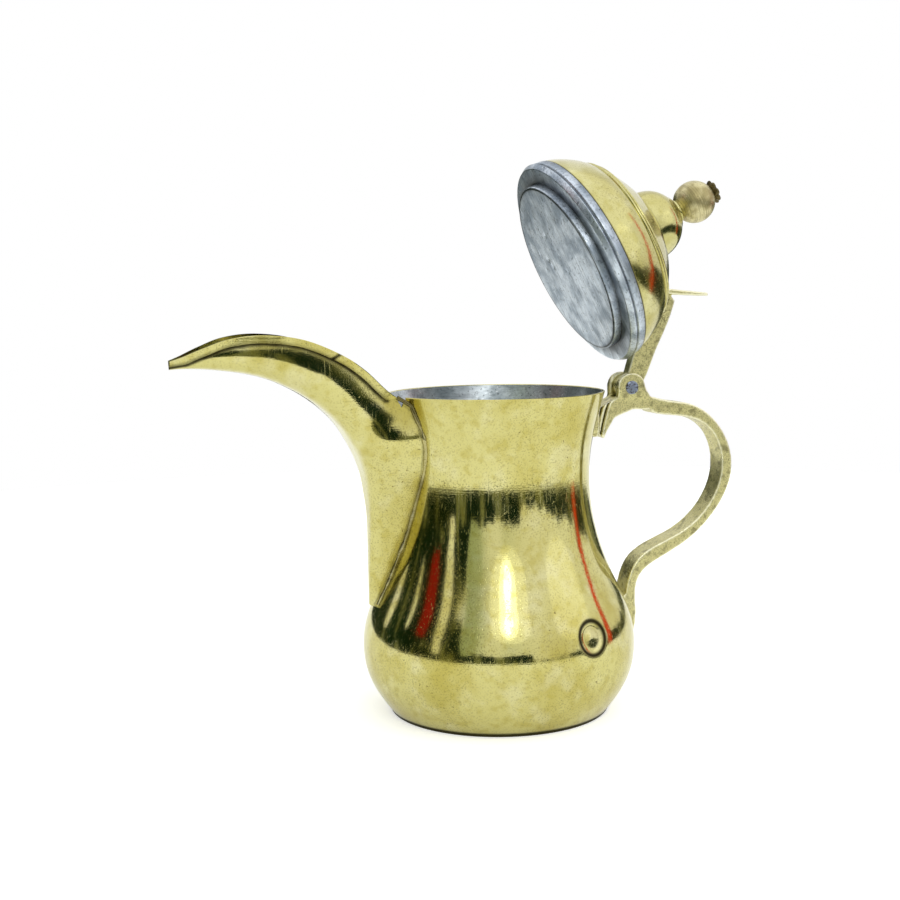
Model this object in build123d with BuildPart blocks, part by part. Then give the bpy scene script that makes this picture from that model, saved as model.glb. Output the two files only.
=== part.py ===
# Arabic coffee pot with a hinged lid, in millimetres.
#
# The origin is the middle of the base, on the surface that the pot stands on, and +Z is up. The hinge and the
# handle are on the +X side, and the spout points along -X. Everything is symmetric about the XZ plane. The lid
# is drawn open, as it stands in the photograph; lid_open turns it back to zero to shut it.
from build123d import *

import os
from math import cos, radians, sin, sqrt

os.makedirs("parts", exist_ok=True)

# ---------------------------------------------------------------- driving dimensions

# Pot body, a spun sheet shell. Levels are heights above the table.
body_height = 148.0
base_radius = 51.3
belly_radius = 63.4
belly_level = 31.0
shoulder_radius = 54.7
shoulder_level = 60.0
waist_radius = 43.0
waist_level = 109.0
mouth_radius = 50.3
body_wall = 1.2
foot_lean = 38.0        # degrees that the wall leans out of the vertical where it leaves the base
mouth_lean = 15.0       # degrees that the wall leans out at the mouth

# Base disc, soldered under the shell
base_plate = 1.4
base_inset = 0.3
base_chamfer = 0.4

# Spout, an open-topped channel
spout_reach = 147.5     # from the pot's axis to the beak's tip
spout_rise = 28.8       # from the mouth up to the highest point of the spout's edge
spout_half_width = 20.0
keel_stand = 18.4       # from the waist out to the keel, where it runs straight down
spout_wall = 1.1
hollow_rise = 2.0       # how far the hollow's cutter stands out of the open side
throat_inset = 2.4      # from the spout's wall to the opening cut in the neck behind it
throat_depth = 9.0      # how far the opening's cutter reaches in past the spout's edge
nick_width = 3.6        # open V at the corner between the spout's edge and the mouth
nick_depth = 4.2
nick_shift = 1.0

# Edging, a flat strip along each upper edge of the spout
edging_height = 3.4
edging_thickness = 1.0
edging_joint = 0.25     # gap at the butt seam between the two lengths
edging_reach = 0.62     # most of the spout's depth that the strip may cover, near the tip

# Hinge
hinge_stand = 14.5      # from the mouth's edge out to the pin
pin_radius = 2.5
pin_running_fit = 0.05
pin_head_radius = 3.1
pin_head_height = 0.6
knuckle_radius = 5.6
knuckle_width = 6.8
knuckle_side_fit = 0.2
ear_radius = 7.0
ear_thickness = 3.9
ear_foot_drop = 4.4     # from the pin down to the ears' foot
ear_foot_spread = 2.6
ear_foot_depth = 3.0
slot_fit = 0.7          # between the knuckle and the hollow that it turns in

# Handle, a casting of one width
handle_width = 13.4
handle_reach = 116.9    # from the pot's axis to the handle's outermost point
handle_strap = 5.6      # thickness at the outermost point
tail_drop = 3.5         # from the belly's widest level down to the tail's end
tail_stand = 3.4        # from the belly's widest radius out to the tail's face

# Root pad, between the neck and the handle's leaf-shaped root
pad_set_back = 1.7      # from the mouth's edge in to the pad's outer face
pad_width = 14.4
pad_height = 13.8
pad_drop = 9.2          # from the mouth down to the pad's top
pad_corner = 4.0

# Lid. Heights are above the mouth's plane while the lid is shut.
lid_open = 64.5         # degrees, as photographed
lid_shift = 1.9         # the shut lid sits this far back towards the hinge, as it does in the photograph
lid_seat_fit = 0.3
plug_inset = 9.1        # from the mouth's edge in to the plug's wall
plug_depth = 3.4
liner_foot_inset = 0.2
liner_foot_chamfer = 1.5
liner_top_inset = 1.0
liner_height = 7.9
liner_wall = 1.2
liner_groove = 0.7
dome_foot_inset = 1.2
dome_wall = 1.0
dome_belly = 0.4        # how far the lower dome swells out of the straight line to the moulding
moulding_radius = 40.0
moulding_level = 25.0
moulding_width = 3.4
moulding_rise = 3.6
moulding_wall = 1.2
bead_radius = 0.75
upper_dome_top_radius = 17.3
upper_dome_top_level = 40.2
crown_radius = 16.9
crown_seat = 3.0        # width of the flat that the crown stands on
crown_top_level = 58.5

# Strap on the back of the lid, with the thumb rest
strap_width = 6.8
thumb_width = 11.0
thumb_thickness = 2.0
thumb_length = 17.0
thumb_root = 4.0        # how much of the tongue is sunk in the strap
thumb_lean = 31.7       # degrees out of the lid's axis

# Knob
ball_radius = 9.9
ball_stand = 0.1        # how far the ball stands clear of the crown's top
collar_radius = 5.6
collar_top_radius = 4.2
collar_sink = 1.0
collar_cup = 1.2
rod_radius = 2.0
rod_sink = 3.0          # how far the rod reaches in under the crown
rod_head_radius = 3.2
rod_head_height = 1.4
rosette_radius = 5.7
rosette_thickness = 2.2
rosette_cup = 0.5
petal_count = 8
petal_radius = 1.6

# ---------------------------------------------------------------- sizes worked out from these

keel_reach = waist_radius + keel_stand
ball_level = crown_top_level + ball_stand + ball_radius
hinge_x = mouth_radius + hinge_stand
hinge_level = body_height
hinge_arm = hinge_x - lid_shift
ear_half_width = knuckle_width / 2 + knuckle_side_fit + ear_thickness
ear_foot_level = hinge_level - ear_foot_drop
slot_width = knuckle_width + 2 * knuckle_side_fit
slot_radius = knuckle_radius + slot_fit
pad_face = mouth_radius - pad_set_back
pad_top = body_height - pad_drop
plug_radius = mouth_radius - plug_inset
liner_foot_radius = mouth_radius - liner_foot_inset
liner_top_radius = mouth_radius - liner_top_inset
dome_foot_radius = mouth_radius - dome_foot_inset
moulding_inner = moulding_radius - moulding_width
moulding_top = moulding_level + moulding_rise


def sheet_curve(points, first_lean, last_lean, inset):
    """Draw a smooth line through points, moved in by inset, whose ends lean out of the vertical."""
    moved = [(x - inset, z) for x, z in points]
    first = (sin(radians(first_lean)), cos(radians(first_lean)))
    last = (sin(radians(last_lean)), cos(radians(last_lean)))
    return Spline(*moved, tangents=(first, last))


def body_outline(inset):
    """Draw the body's wall line from the base disc up to the mouth, moved in by inset."""
    foot = [(base_radius, base_plate), (belly_radius, belly_level)]
    shoulder = [(belly_radius, belly_level), (shoulder_radius, shoulder_level), (waist_radius, waist_level)]
    neck = [(waist_radius, waist_level), (mouth_radius, body_height)]
    sheet_curve(foot, foot_lean, 0, inset)
    sheet_curve(shoulder, 0, 0, inset)
    sheet_curve(neck, 0, mouth_lean, inset)


# ---------------------------------------------------------------- pot body

# The full form of the body, which trims what is soldered to it
with BuildPart() as body_form:
    with BuildSketch(Plane.XZ):
        with BuildLine():
            body_outline(0)
            Polyline((mouth_radius, body_height), (0, body_height), (0, base_plate), (base_radius, base_plate))
        make_face()
    revolve(axis=Axis.Z)

# Stations of the spout from its foot to its tip. Each one holds the middle of the section's open side (x, z),
# its half width as a share of the spout's, and the keel's point (x, z). Below the mouth the heights are shares of
# the body's and x is measured from the keel's reach; above it both go by shares of the spout's run and rise.
run = spout_reach - mouth_radius
FOOT_STATIONS = [
    (4.4, 0.345, 0.115, -0.2, 0.355),
    (7.9, 0.419, 0.19, -0.1, 0.426),
    (12.4, 0.500, 0.285, 0.0, 0.504),
    (18.9, 0.622, 0.50, 0.2, 0.620),
    (21.9, 0.703, 0.71, -0.7, 0.696),
    (24.4, 0.791, 0.975, -2.6, 0.774),
    (24.4, 0.878, 1.12, -7.1, 0.848),
    (19.4, 0.959, 1.07, -13.6, 0.918),
]
BEAK_STATIONS = [
    (0.043, 0.087, 1.02, 0.331, -0.156),
    (0.154, 0.444, 1.00, 0.414, 0.052),
    (0.265, 0.695, 0.985, 0.496, 0.208),
    (0.429, 0.925, 0.935, 0.583, 0.333),
    (0.604, 1.000, 0.84, 0.676, 0.417),
    (0.748, 0.952, 0.70, 0.779, 0.472),
    (0.861, 0.820, 0.535, 0.871, 0.503),
    (0.949, 0.694, 0.34, 0.949, 0.510),
    (1.000, 0.632, 0.17, 1.000, 0.500),
]


def foot_station(edge_x, edge_z, share, keel_x, keel_z):
    """Place a station below the mouth in the XZ plane."""
    return (edge_x - keel_reach, edge_z * body_height, share, keel_x - keel_reach, keel_z * body_height)


def beak_station(edge_x, edge_z, share, keel_x, keel_z):
    """Place a station above the mouth in the XZ plane."""
    edge = (-mouth_radius - edge_x * run, body_height + edge_z * spout_rise)
    keel = (-mouth_radius - keel_x * run, body_height + keel_z * spout_rise)
    return (*edge, share, *keel)


stations = [foot_station(*row) for row in FOOT_STATIONS] + [beak_station(*row) for row in BEAK_STATIONS]
first_beak = len(FOOT_STATIONS)
butt_station = first_beak + 2


def station_frame(station):
    """Give a station's plane, with its y axis running down to the keel, its half width and its depth."""
    edge_x, edge_z, share, keel_x, keel_z = station
    down = Vector(keel_x - edge_x, 0, keel_z - edge_z)
    across = Vector(0, 1, 0)
    plane = Plane(origin=(edge_x, 0, edge_z), x_dir=across, z_dir=across.cross(down.normalized()))
    return plane, share * spout_half_width, down.length


def half_ring(half_width, depth, thickness):
    """Draw the space between two half ellipses."""
    outer = EllipticalCenterArc((0, 0), half_width, depth, 0, arc_size=180)
    inner = EllipticalCenterArc((0, 0), half_width - thickness, depth - thickness, 0, arc_size=180)
    Line(outer @ 0, inner @ 0)
    Line(outer @ 1, inner @ 1)


def channel_section(half_width, depth, inset, reach):
    """Draw a closed half ellipse, moved in by inset, that stands out of the open side by reach."""
    open_half = half_width - inset
    bottom = EllipticalCenterArc((0, 0), open_half, depth - inset, 0, arc_size=180)
    if reach:
        Polyline(bottom @ 0, (open_half, -reach), (-open_half, -reach), bottom @ 1)
    else:
        Line(bottom @ 0, bottom @ 1)


def channel_loft(rows, inset, reach):
    """Loft the closed sections of the given stations."""
    with BuildPart() as form:
        for station in rows:
            plane, half_width, depth = station_frame(station)
            with BuildSketch(plane):
                with BuildLine():
                    channel_section(half_width, depth, inset, reach)
                make_face()
        loft()
    return form.part


# The opening in the neck, which keeps inside the spout's walls all the way
throat = channel_loft(stations[3:first_beak + 2], throat_inset, throat_depth)

with BuildPart() as pot_body:
    with BuildSketch(Plane.XZ):
        with BuildLine():
            body_outline(0)
            body_outline(body_wall)
            Line((mouth_radius, body_height), (mouth_radius - body_wall, body_height))
            Line((base_radius, base_plate), (base_radius - body_wall, base_plate))
        make_face()
    revolve(axis=Axis.Z)
    add(throat, mode=Mode.SUBTRACT)
pot_body.part.label = "pot_body"
export_step(pot_body.part, "parts/pot_body.step")

# ---------------------------------------------------------------- base disc

with BuildPart() as base_disc:
    with BuildSketch(Plane.XY):
        Circle(base_radius - base_inset)
    extrude(amount=base_plate)
    chamfer(base_disc.edges().group_by(Axis.Z)[0], base_chamfer)
base_disc.part.label = "base_disc"
export_step(base_disc.part, "parts/base_disc.step")

# ---------------------------------------------------------------- spout channel

# The full form of the spout and its hollow
spout_form = channel_loft(stations, 0, 0)
spout_hollow = channel_loft(stations, spout_wall, hollow_rise)

with BuildPart() as spout_channel:
    add(spout_form)
    add(spout_hollow, mode=Mode.SUBTRACT)
    add(body_form.part, mode=Mode.SUBTRACT)
    # The V that the sheet leaves open on both sides where the spout's edge comes down to the mouth
    with BuildSketch(Plane.XZ):
        with BuildLine():
            Polyline(
                (-mouth_radius - nick_width, body_height + nick_depth),
                (-mouth_radius + nick_shift, body_height - nick_depth),
                (-mouth_radius + nick_shift + nick_width, body_height + nick_depth),
                close=True,
            )
        make_face()
    extrude(amount=2 * spout_half_width, both=True, mode=Mode.SUBTRACT)
spout_channel.part.label = "spout_channel"
export_step(spout_channel.part, "parts/spout_channel.step")

# ---------------------------------------------------------------- spout edging


def edging_depth(index):
    """Give how far down a section the strip reaches, so that its height is measured square to the edge."""
    before = stations[max(index - 1, 0)]
    after = stations[min(index + 1, len(stations) - 1)]
    along = Vector(after[0] - before[0], 0, after[1] - before[1]).normalized()
    edge_x, edge_z, share, keel_x, keel_z = stations[index]
    down = Vector(keel_x - edge_x, 0, keel_z - edge_z)
    slant = along.cross(down.normalized()).length
    return min(edging_height / slant, edging_reach * down.length)


# One skin all over the outside of the spout, as thick as the edging
with BuildPart() as edging_skin:
    for station in stations:
        plane, half_width, depth = station_frame(station)
        with BuildSketch(plane):
            with BuildLine():
                half_ring(half_width + edging_thickness, depth + edging_thickness, edging_thickness)
            make_face()
    loft()
    add(body_form.part, mode=Mode.SUBTRACT)


def edging_span(first, last, first_gap, last_gap):
    """Make the room that one near-side length of edging takes up, between two stations."""
    with BuildPart() as span:
        for index in range(first, last + 1):
            plane, half_width, depth = station_frame(stations[index])
            shift = first_gap * (index == first) - last_gap * (index == last)
            with BuildSketch(plane.offset(shift)):
                with Locations((0, -edging_thickness)):
                    Rectangle(
                        half_width + 2 * edging_thickness,
                        edging_depth(index) + edging_thickness,
                        align=(Align.MIN, Align.MIN),
                    )
        loft(ruled=True)
    return span.part


SPANS = (
    ("spout_edging_rear", (first_beak, butt_station, 0, edging_joint)),
    ("spout_edging_front", (butt_station, len(stations) - 1, 0, 0)),
)
for name, span in SPANS:
    with BuildPart() as strip:
        add(edging_skin.part)
        add(edging_span(*span), mode=Mode.INTERSECT)
    far_side = strip.part
    near_side = mirror(far_side, about=Plane.XZ)
    far_side.label = name + "_far"
    near_side.label = name + "_near"
    export_step(far_side, "parts/" + name + "_far.step")
    export_step(near_side, "parts/" + name + "_near.step")

# ---------------------------------------------------------------- root pad

with BuildPart() as root_pad:
    with BuildSketch(Plane.YZ):
        with Locations((0, pad_top - pad_height / 2)):
            RectangleRounded(pad_width, pad_height, pad_corner)
    extrude(amount=pad_face)
    add(body_form.part, mode=Mode.SUBTRACT)
root_pad.part.label = "root_pad"
export_step(root_pad.part, "parts/root_pad.step")

# ---------------------------------------------------------------- handle

bow_run = handle_reach - pad_face
tail_level = belly_level - tail_drop
bow_drop = ear_foot_level - tail_level
tail_face = belly_radius + tail_stand

# The bow's outer and inner lines, as shares of its run out from the pad and of its drop from the ears' foot
BOW_OUTER = [(0.53, 0.0215), (0.675, 0.036), (0.855, 0.101), (1.0, 0.298), (0.815, 0.524), (0.655, 0.604)]
BOW_OUTER += [(0.426, 0.677)]
BOW_INNER = [(0.278, 0.672), (0.625, 0.560), (0.725, 0.105), (0.386, 0.060), (0.117, 0.083)]
LEAF = [(0.059, 0.138), (0.038, 0.168), (0.0, 0.145)]


def bow_point(share, drop):
    """Turn shares of the bow's run and drop into a place in the XZ plane."""
    return (pad_face + share * bow_run, ear_foot_level - drop * bow_drop)


with BuildPart() as handle:
    # The bow: its outer line, the tail on the belly, its inner line and the leaf-shaped root
    with BuildSketch(Plane.XZ):
        with BuildLine():
            saddle_start = (hinge_x - ear_radius, ear_foot_level)
            saddle_end = (hinge_x + ear_radius + ear_foot_spread, ear_foot_level)
            saddle = Polyline((pad_face, pad_top), saddle_start, saddle_end)
            outer = Spline(
                saddle @ 1,
                *[bow_point(*row) for row in BOW_OUTER],
                (tail_face + 1.6, bow_point(0, 0.745)[1]),
                (tail_face, bow_point(0, 0.838)[1]),
                (tail_face, bow_point(0, 0.927)[1]),
                tangents=((1, -0.25), (-0.08, -1)),
            )
            tail = Polyline(
                outer @ 1,
                (belly_radius + tail_stand / 2, tail_level),
                (belly_radius - tail_stand, tail_level),
                (belly_radius - 5.4, bow_point(0, 0.84)[1]),
                (belly_radius - 1.8, bow_point(0, 0.806)[1]),
            )
            inner = Spline(
                tail @ 1,
                bow_point(*BOW_INNER[0]),
                bow_point(*BOW_INNER[1]),
                (handle_reach - handle_strap, bow_point(0, 0.294)[1]),
                *[bow_point(*row) for row in BOW_INNER[2:]],
                tangents=((0.15, 1), (-1, -0.4)),
            )
            Polyline(inner @ 1, *[bow_point(*row) for row in LEAF], saddle @ 0)
        make_face()
    extrude(amount=handle_width / 2, both=True)
    # The two ears as one block with a broad foot
    with BuildSketch(Plane.XZ):
        with Locations((hinge_x, hinge_level)):
            Circle(ear_radius)
        Polygon(
            (hinge_x - ear_radius, hinge_level),
            (hinge_x + ear_radius, hinge_level),
            (hinge_x + ear_radius + ear_foot_spread, ear_foot_level),
            (hinge_x + ear_radius, ear_foot_level - ear_foot_depth),
            (hinge_x - ear_radius, ear_foot_level - ear_foot_depth),
            align=None,
        )
    extrude(amount=ear_half_width, both=True)
    # The slot between the ears, with a round floor under the knuckle
    with BuildSketch(Plane.XZ):
        with Locations((hinge_x, hinge_level)):
            Circle(slot_radius)
        with Locations((hinge_x, ear_foot_level)):
            Rectangle(4 * ear_radius, 3 * ear_radius, align=(Align.CENTER, Align.MIN))
    extrude(amount=slot_width / 2, both=True, mode=Mode.SUBTRACT)
    # The bore for the pin
    with BuildSketch(Plane.XZ):
        with Locations((hinge_x, hinge_level)):
            Circle(pin_radius)
    extrude(amount=ear_half_width, both=True, mode=Mode.SUBTRACT)
    add(body_form.part, mode=Mode.SUBTRACT)
handle.part.label = "handle"
export_step(handle.part, "parts/handle.step")

# ---------------------------------------------------------------- hinge pin

with BuildPart() as hinge_pin:
    with BuildSketch(Plane.XZ):
        with Locations((hinge_x, hinge_level)):
            Circle(pin_radius)
    extrude(amount=ear_half_width, both=True)
    for side in (Plane.XZ.offset(ear_half_width), Plane.XZ.offset(-ear_half_width - pin_head_height)):
        with BuildSketch(side):
            with Locations((hinge_x, hinge_level)):
                Circle(pin_head_radius)
        extrude(amount=pin_head_height)
    chamfer(hinge_pin.edges().filter_by(GeomType.CIRCLE).group_by(Axis.Y)[0], pin_head_height / 2)
    chamfer(hinge_pin.edges().filter_by(GeomType.CIRCLE).group_by(Axis.Y)[-1], pin_head_height / 2)
hinge_pin.part.label = "hinge_pin"
export_step(hinge_pin.part, "parts/hinge_pin.step")

# ---------------------------------------------------------------- the lid's own frame

# The middle of the lid's foot, turned about the pin by lid_open. The pin lies in the plane of the foot.
lid_right = Vector(cos(radians(lid_open)), 0, -sin(radians(lid_open)))
lid_up = Vector(sin(radians(lid_open)), 0, cos(radians(lid_open)))
lid_middle = Vector(hinge_x, 0, hinge_level) - lid_right * hinge_arm
lid_side = Plane(origin=lid_middle, x_dir=lid_right, z_dir=(0, -1, 0))
lid_level = Plane(origin=lid_middle, x_dir=lid_right, z_dir=lid_up)
lid_axis = Axis(lid_middle, lid_up)

# The way the lower dome runs where it meets the moulding
DOME_END = (-0.72, 0.69)
BEAD_PLACES = (0.25, 0.75)


def dome_outline(inset):
    """Draw the lower dome's line from its foot up to the moulding, moved in by inset."""
    foot = (dome_foot_radius - inset, liner_height)
    top = (moulding_radius - inset * DOME_END[1], moulding_level + inset * DOME_END[0])
    middle_radius = 0.62 * dome_foot_radius + 0.38 * moulding_radius + dome_belly
    middle = (middle_radius - inset, 0.5 * (liner_height + moulding_level))
    return Spline(foot, middle, top, tangents=((-0.18, 1), DOME_END))


def upper_outline(radius, level, inset):
    """Draw the upper dome's line from the moulding at radius and level up to the crown, moved down by inset."""
    end = (upper_dome_top_radius, upper_dome_top_level - inset)
    return Spline((radius, level), end, tangents=((-1, 0.78), (-1, 0.28)))


def crown_outline(inset):
    """Draw the crown's line from its foot up to the axis, moved in by inset."""
    height = crown_top_level - upper_dome_top_level
    shoulder = (0.86 * crown_radius - inset, upper_dome_top_level + 0.53 * height - 0.4 * inset)
    foot = (crown_radius - inset, upper_dome_top_level)
    return Spline(foot, shoulder, (0, crown_top_level - inset), tangents=((-0.12, 1), (-1, 0)))


def bead_circles():
    """Draw the moulding's two beads."""
    for share in BEAD_PLACES:
        with Locations((moulding_radius - share * moulding_width, moulding_level + share * moulding_rise)):
            Circle(bead_radius)


# ---------------------------------------------------------------- lid liner

with BuildPart() as liner_ring:
    with BuildSketch(lid_side):
        with BuildLine():
            groove_level = lid_seat_fit + 0.45 * (liner_height - lid_seat_fit)
            groove_radius = 0.55 * liner_foot_radius + 0.45 * liner_top_radius
            Polyline(
                (plug_radius, lid_seat_fit),
                (liner_foot_radius - liner_foot_chamfer, lid_seat_fit),
                (liner_foot_radius, lid_seat_fit + 1.6 * liner_foot_chamfer),
                (groove_radius, groove_level - liner_groove),
                (groove_radius - liner_groove, groove_level),
                (groove_radius, groove_level + liner_groove),
                (liner_top_radius, liner_height),
                (liner_top_radius - 2 * liner_wall, liner_height),
                (liner_foot_radius - 2 * liner_wall, lid_seat_fit + liner_wall),
                (plug_radius, lid_seat_fit + liner_wall),
                close=True,
            )
        make_face()
    revolve(axis=lid_axis)
liner_ring.part.label = "liner_ring"
export_step(liner_ring.part, "parts/liner_ring.step")

with BuildPart() as liner_plug:
    with BuildSketch(lid_side):
        with BuildLine():
            Polyline(
                (0, -plug_depth),
                (plug_radius, -plug_depth),
                (plug_radius, lid_seat_fit + liner_wall),
                (plug_radius + 2 * liner_wall, lid_seat_fit + liner_wall),
                (plug_radius + 2 * liner_wall, lid_seat_fit + 2 * liner_wall),
                (plug_radius - liner_wall, lid_seat_fit + 2 * liner_wall),
                (plug_radius - liner_wall, liner_wall - plug_depth),
                (0, liner_wall - plug_depth),
                close=True,
            )
        make_face()
    revolve(axis=lid_axis)
liner_plug.part.label = "liner_plug"
export_step(liner_plug.part, "parts/liner_plug.step")

# ---------------------------------------------------------------- domes, moulding and crown

with BuildPart() as lower_dome:
    with BuildSketch(lid_side):
        with BuildLine():
            outside = dome_outline(0)
            inside = dome_outline(dome_wall)
            Line(outside @ 0, inside @ 0)
            Line(outside @ 1, inside @ 1)
        make_face()
    revolve(axis=lid_axis)
lower_dome.part.label = "lower_dome"
export_step(lower_dome.part, "parts/lower_dome.step")

with BuildPart() as moulding:
    with BuildSketch(lid_side):
        with BuildLine():
            Polyline(
                (moulding_radius, moulding_level),
                (moulding_inner, moulding_top),
                (moulding_inner - moulding_wall, moulding_top - moulding_wall),
                (moulding_radius - moulding_wall, moulding_level - moulding_wall),
                (moulding_radius - DOME_END[1] * dome_wall, moulding_level + DOME_END[0] * dome_wall),
                close=True,
            )
        make_face()
        bead_circles()
    revolve(axis=lid_axis)
moulding.part.label = "moulding"
export_step(moulding.part, "parts/moulding.step")

with BuildPart() as upper_dome:
    with BuildSketch(lid_side):
        with BuildLine():
            slant = dome_wall / sqrt(2)
            outside = upper_outline(moulding_inner, moulding_top, 0)
            inside = upper_outline(moulding_inner - slant, moulding_top - slant, dome_wall)
            Line(outside @ 0, inside @ 0)
            Polyline(
                outside @ 1,
                (crown_radius - crown_seat, upper_dome_top_level),
                (crown_radius - crown_seat, upper_dome_top_level - dome_wall),
                inside @ 1,
            )
        make_face()
    revolve(axis=lid_axis)
upper_dome.part.label = "upper_dome"
export_step(upper_dome.part, "parts/upper_dome.step")

with BuildPart() as crown:
    with BuildSketch(lid_side):
        with BuildLine():
            outside = crown_outline(0)
            inside = crown_outline(dome_wall)
            Line(outside @ 0, inside @ 0)
            Line(outside @ 1, inside @ 1)
        make_face()
    revolve(axis=lid_axis)
    with BuildSketch(lid_level):
        Circle(rod_radius)
    extrude(amount=ball_level, mode=Mode.SUBTRACT)
crown.part.label = "crown"
export_step(crown.part, "parts/crown.step")

# ---------------------------------------------------------------- strap with knuckle and thumb rest

# The full form of the lid's outside, which trims the strap and the collar
with BuildPart() as lid_form:
    with BuildSketch(lid_side):
        with BuildLine():
            dome_line = dome_outline(0)
            top_line = upper_outline(moulding_inner, moulding_top, 0)
            crown_line = crown_outline(0)
            Line(dome_line @ 1, top_line @ 0)
            Line(top_line @ 1, crown_line @ 0)
            Polyline(crown_line @ 1, (0, 0), (dome_foot_radius, 0), dome_line @ 0)
        make_face()
    revolve(axis=lid_axis)
    with BuildSketch(lid_side):
        bead_circles()
    revolve(axis=lid_axis)

with BuildPart() as lid_strap:
    with BuildSketch(lid_side):
        with BuildLine():
            back = Spline(
                (hinge_arm + 3.2, 4.4),
                (dome_foot_radius + 5.2, 19.2),
                (moulding_radius + 6.2, moulding_level + 4.2),
                (moulding_radius - 3.0, moulding_level + 13.6),
                tangents=((-0.5, 1), (-0.75, 0.66)),
            )
            Polyline(
                back @ 1,
                (moulding_radius - 14.5, moulding_level + 10.8),
                (moulding_radius, moulding_level - 5.0),
                (dome_foot_radius + 0.3, liner_height + 1.5),
                (hinge_arm - 5.2, 1.8),
                back @ 0,
            )
        make_face()
        with Locations((hinge_arm, 0)):
            Circle(knuckle_radius)
    extrude(amount=strap_width / 2, both=True)
    # The thumb rest, a flat tongue that stands off the strap's end
    with BuildSketch(lid_side):
        with BuildLine():
            root = Vector(moulding_radius - 8.2, moulding_level + 15.3)
            along = Vector(sin(radians(thumb_lean)), cos(radians(thumb_lean)))
            square = Vector(along.Y, -along.X)
            tip = root + along * thumb_length
            foot = root - along * thumb_root
            Polyline(
                foot,
                tip,
                tip + square * thumb_thickness * 0.8,
                root + square * thumb_thickness * 1.3,
                foot + square * thumb_thickness * 1.3,
                close=True,
            )
        make_face()
    extrude(amount=thumb_width / 2, both=True)
    add(lid_form.part, mode=Mode.SUBTRACT)
    with BuildSketch(lid_side):
        with Locations((hinge_arm, 0)):
            Circle(pin_radius + pin_running_fit)
    extrude(amount=strap_width / 2, both=True, mode=Mode.SUBTRACT)
lid_strap.part.label = "lid_strap"
export_step(lid_strap.part, "parts/lid_strap.step")

# ---------------------------------------------------------------- knob

with BuildPart() as knob_collar:
    with BuildSketch(lid_side):
        with BuildLine():
            Polyline(
                (rod_radius, crown_top_level - collar_sink),
                (collar_radius, crown_top_level - collar_sink),
                (collar_top_radius, ball_level - ball_radius + collar_cup),
                (rod_radius, ball_level - ball_radius + collar_cup),
                close=True,
            )
        make_face()
    revolve(axis=lid_axis)
    add(lid_form.part, mode=Mode.SUBTRACT)
knob_collar.part.label = "knob_collar"
export_step(knob_collar.part, "parts/knob_collar.step")

with BuildPart() as knob_ball:
    with BuildSketch(lid_side):
        with BuildLine():
            CenterArc((0, ball_level), ball_radius, -90, 180)
            Line((0, ball_level - ball_radius), (0, ball_level + ball_radius))
        make_face()
    revolve(axis=lid_axis)
    with BuildSketch(lid_level):
        Circle(rod_radius)
    extrude(amount=ball_level + ball_radius, mode=Mode.SUBTRACT)
    add(lid_form.part, mode=Mode.SUBTRACT)
    add(knob_collar.part, mode=Mode.SUBTRACT)
knob_ball.part.label = "knob_ball"
export_step(knob_ball.part, "parts/knob_ball.step")

rosette_level = ball_level + ball_radius - rosette_cup
with BuildPart() as knob_rosette:
    with BuildSketch(lid_level.offset(rosette_level)):
        Circle(rosette_radius - 0.6 * petal_radius)
        with PolarLocations(rosette_radius - petal_radius, petal_count):
            Circle(petal_radius)
        Circle(rod_radius, mode=Mode.SUBTRACT)
    extrude(amount=rosette_thickness)
    add(knob_ball.part, mode=Mode.SUBTRACT)
knob_rosette.part.label = "knob_rosette"
export_step(knob_rosette.part, "parts/knob_rosette.step")

with BuildPart() as knob_rod:
    rod_foot = crown_top_level - dome_wall - rod_sink
    head_level = rosette_level + rosette_thickness
    with BuildSketch(lid_level.offset(rod_foot)):
        Circle(rod_radius)
    extrude(amount=head_level - rod_foot)
    with BuildSketch(lid_level.offset(head_level)):
        Circle(rod_head_radius)
    extrude(amount=rod_head_height)
knob_rod.part.label = "knob_rod"
export_step(knob_rod.part, "parts/knob_rod.step")
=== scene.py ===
"""Antique brass coffee pot with its hinged lid open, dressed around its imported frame.

Sizes are in millimetres unless a name says otherwise; Blender's own units are metres. The pot stands on the
origin with +Z up, its hinge and handle on +X and its spout on -X, and it is the same on both sides of y = 0.
"""
import logging
import math
from collections.abc import Callable, Iterable
from dataclasses import dataclass, field
from enum import Enum

import bmesh
import bpy
import numpy as np
from mathutils import Matrix, Vector, noise


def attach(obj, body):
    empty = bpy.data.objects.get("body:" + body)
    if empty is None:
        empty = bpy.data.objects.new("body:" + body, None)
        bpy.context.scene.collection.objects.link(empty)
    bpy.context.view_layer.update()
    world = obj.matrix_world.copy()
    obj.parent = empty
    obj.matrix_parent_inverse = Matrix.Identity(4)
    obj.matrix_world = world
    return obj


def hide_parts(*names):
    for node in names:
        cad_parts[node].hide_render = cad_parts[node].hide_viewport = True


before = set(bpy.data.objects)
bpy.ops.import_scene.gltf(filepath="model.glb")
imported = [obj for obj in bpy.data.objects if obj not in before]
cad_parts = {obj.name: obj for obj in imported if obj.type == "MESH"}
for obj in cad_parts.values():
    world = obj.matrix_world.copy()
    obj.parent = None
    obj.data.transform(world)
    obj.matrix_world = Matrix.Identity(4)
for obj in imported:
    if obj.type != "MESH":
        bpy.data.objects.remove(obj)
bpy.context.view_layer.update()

log = logging.getLogger("coffee_pot")

MM = 0.001
Point = tuple[float, float]
Socket = bpy.types.NodeSocket
Tree = bpy.types.NodeTree
SMOOTH = {"interpolation_type": "SMOOTHSTEP"}
CREASE = 30.0


class Body(Enum):
    """The two bodies that the hinge joins."""

    POT = "pot"
    LID = "lid"


class Slot(Enum):
    """The record's material slots."""

    POLISHED = "polished_brass"
    CAST = "cast_brass"
    KNOB = "knob_brass"
    TINNED = "tinned_copper"
    PIN = "pin_steel"


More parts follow.
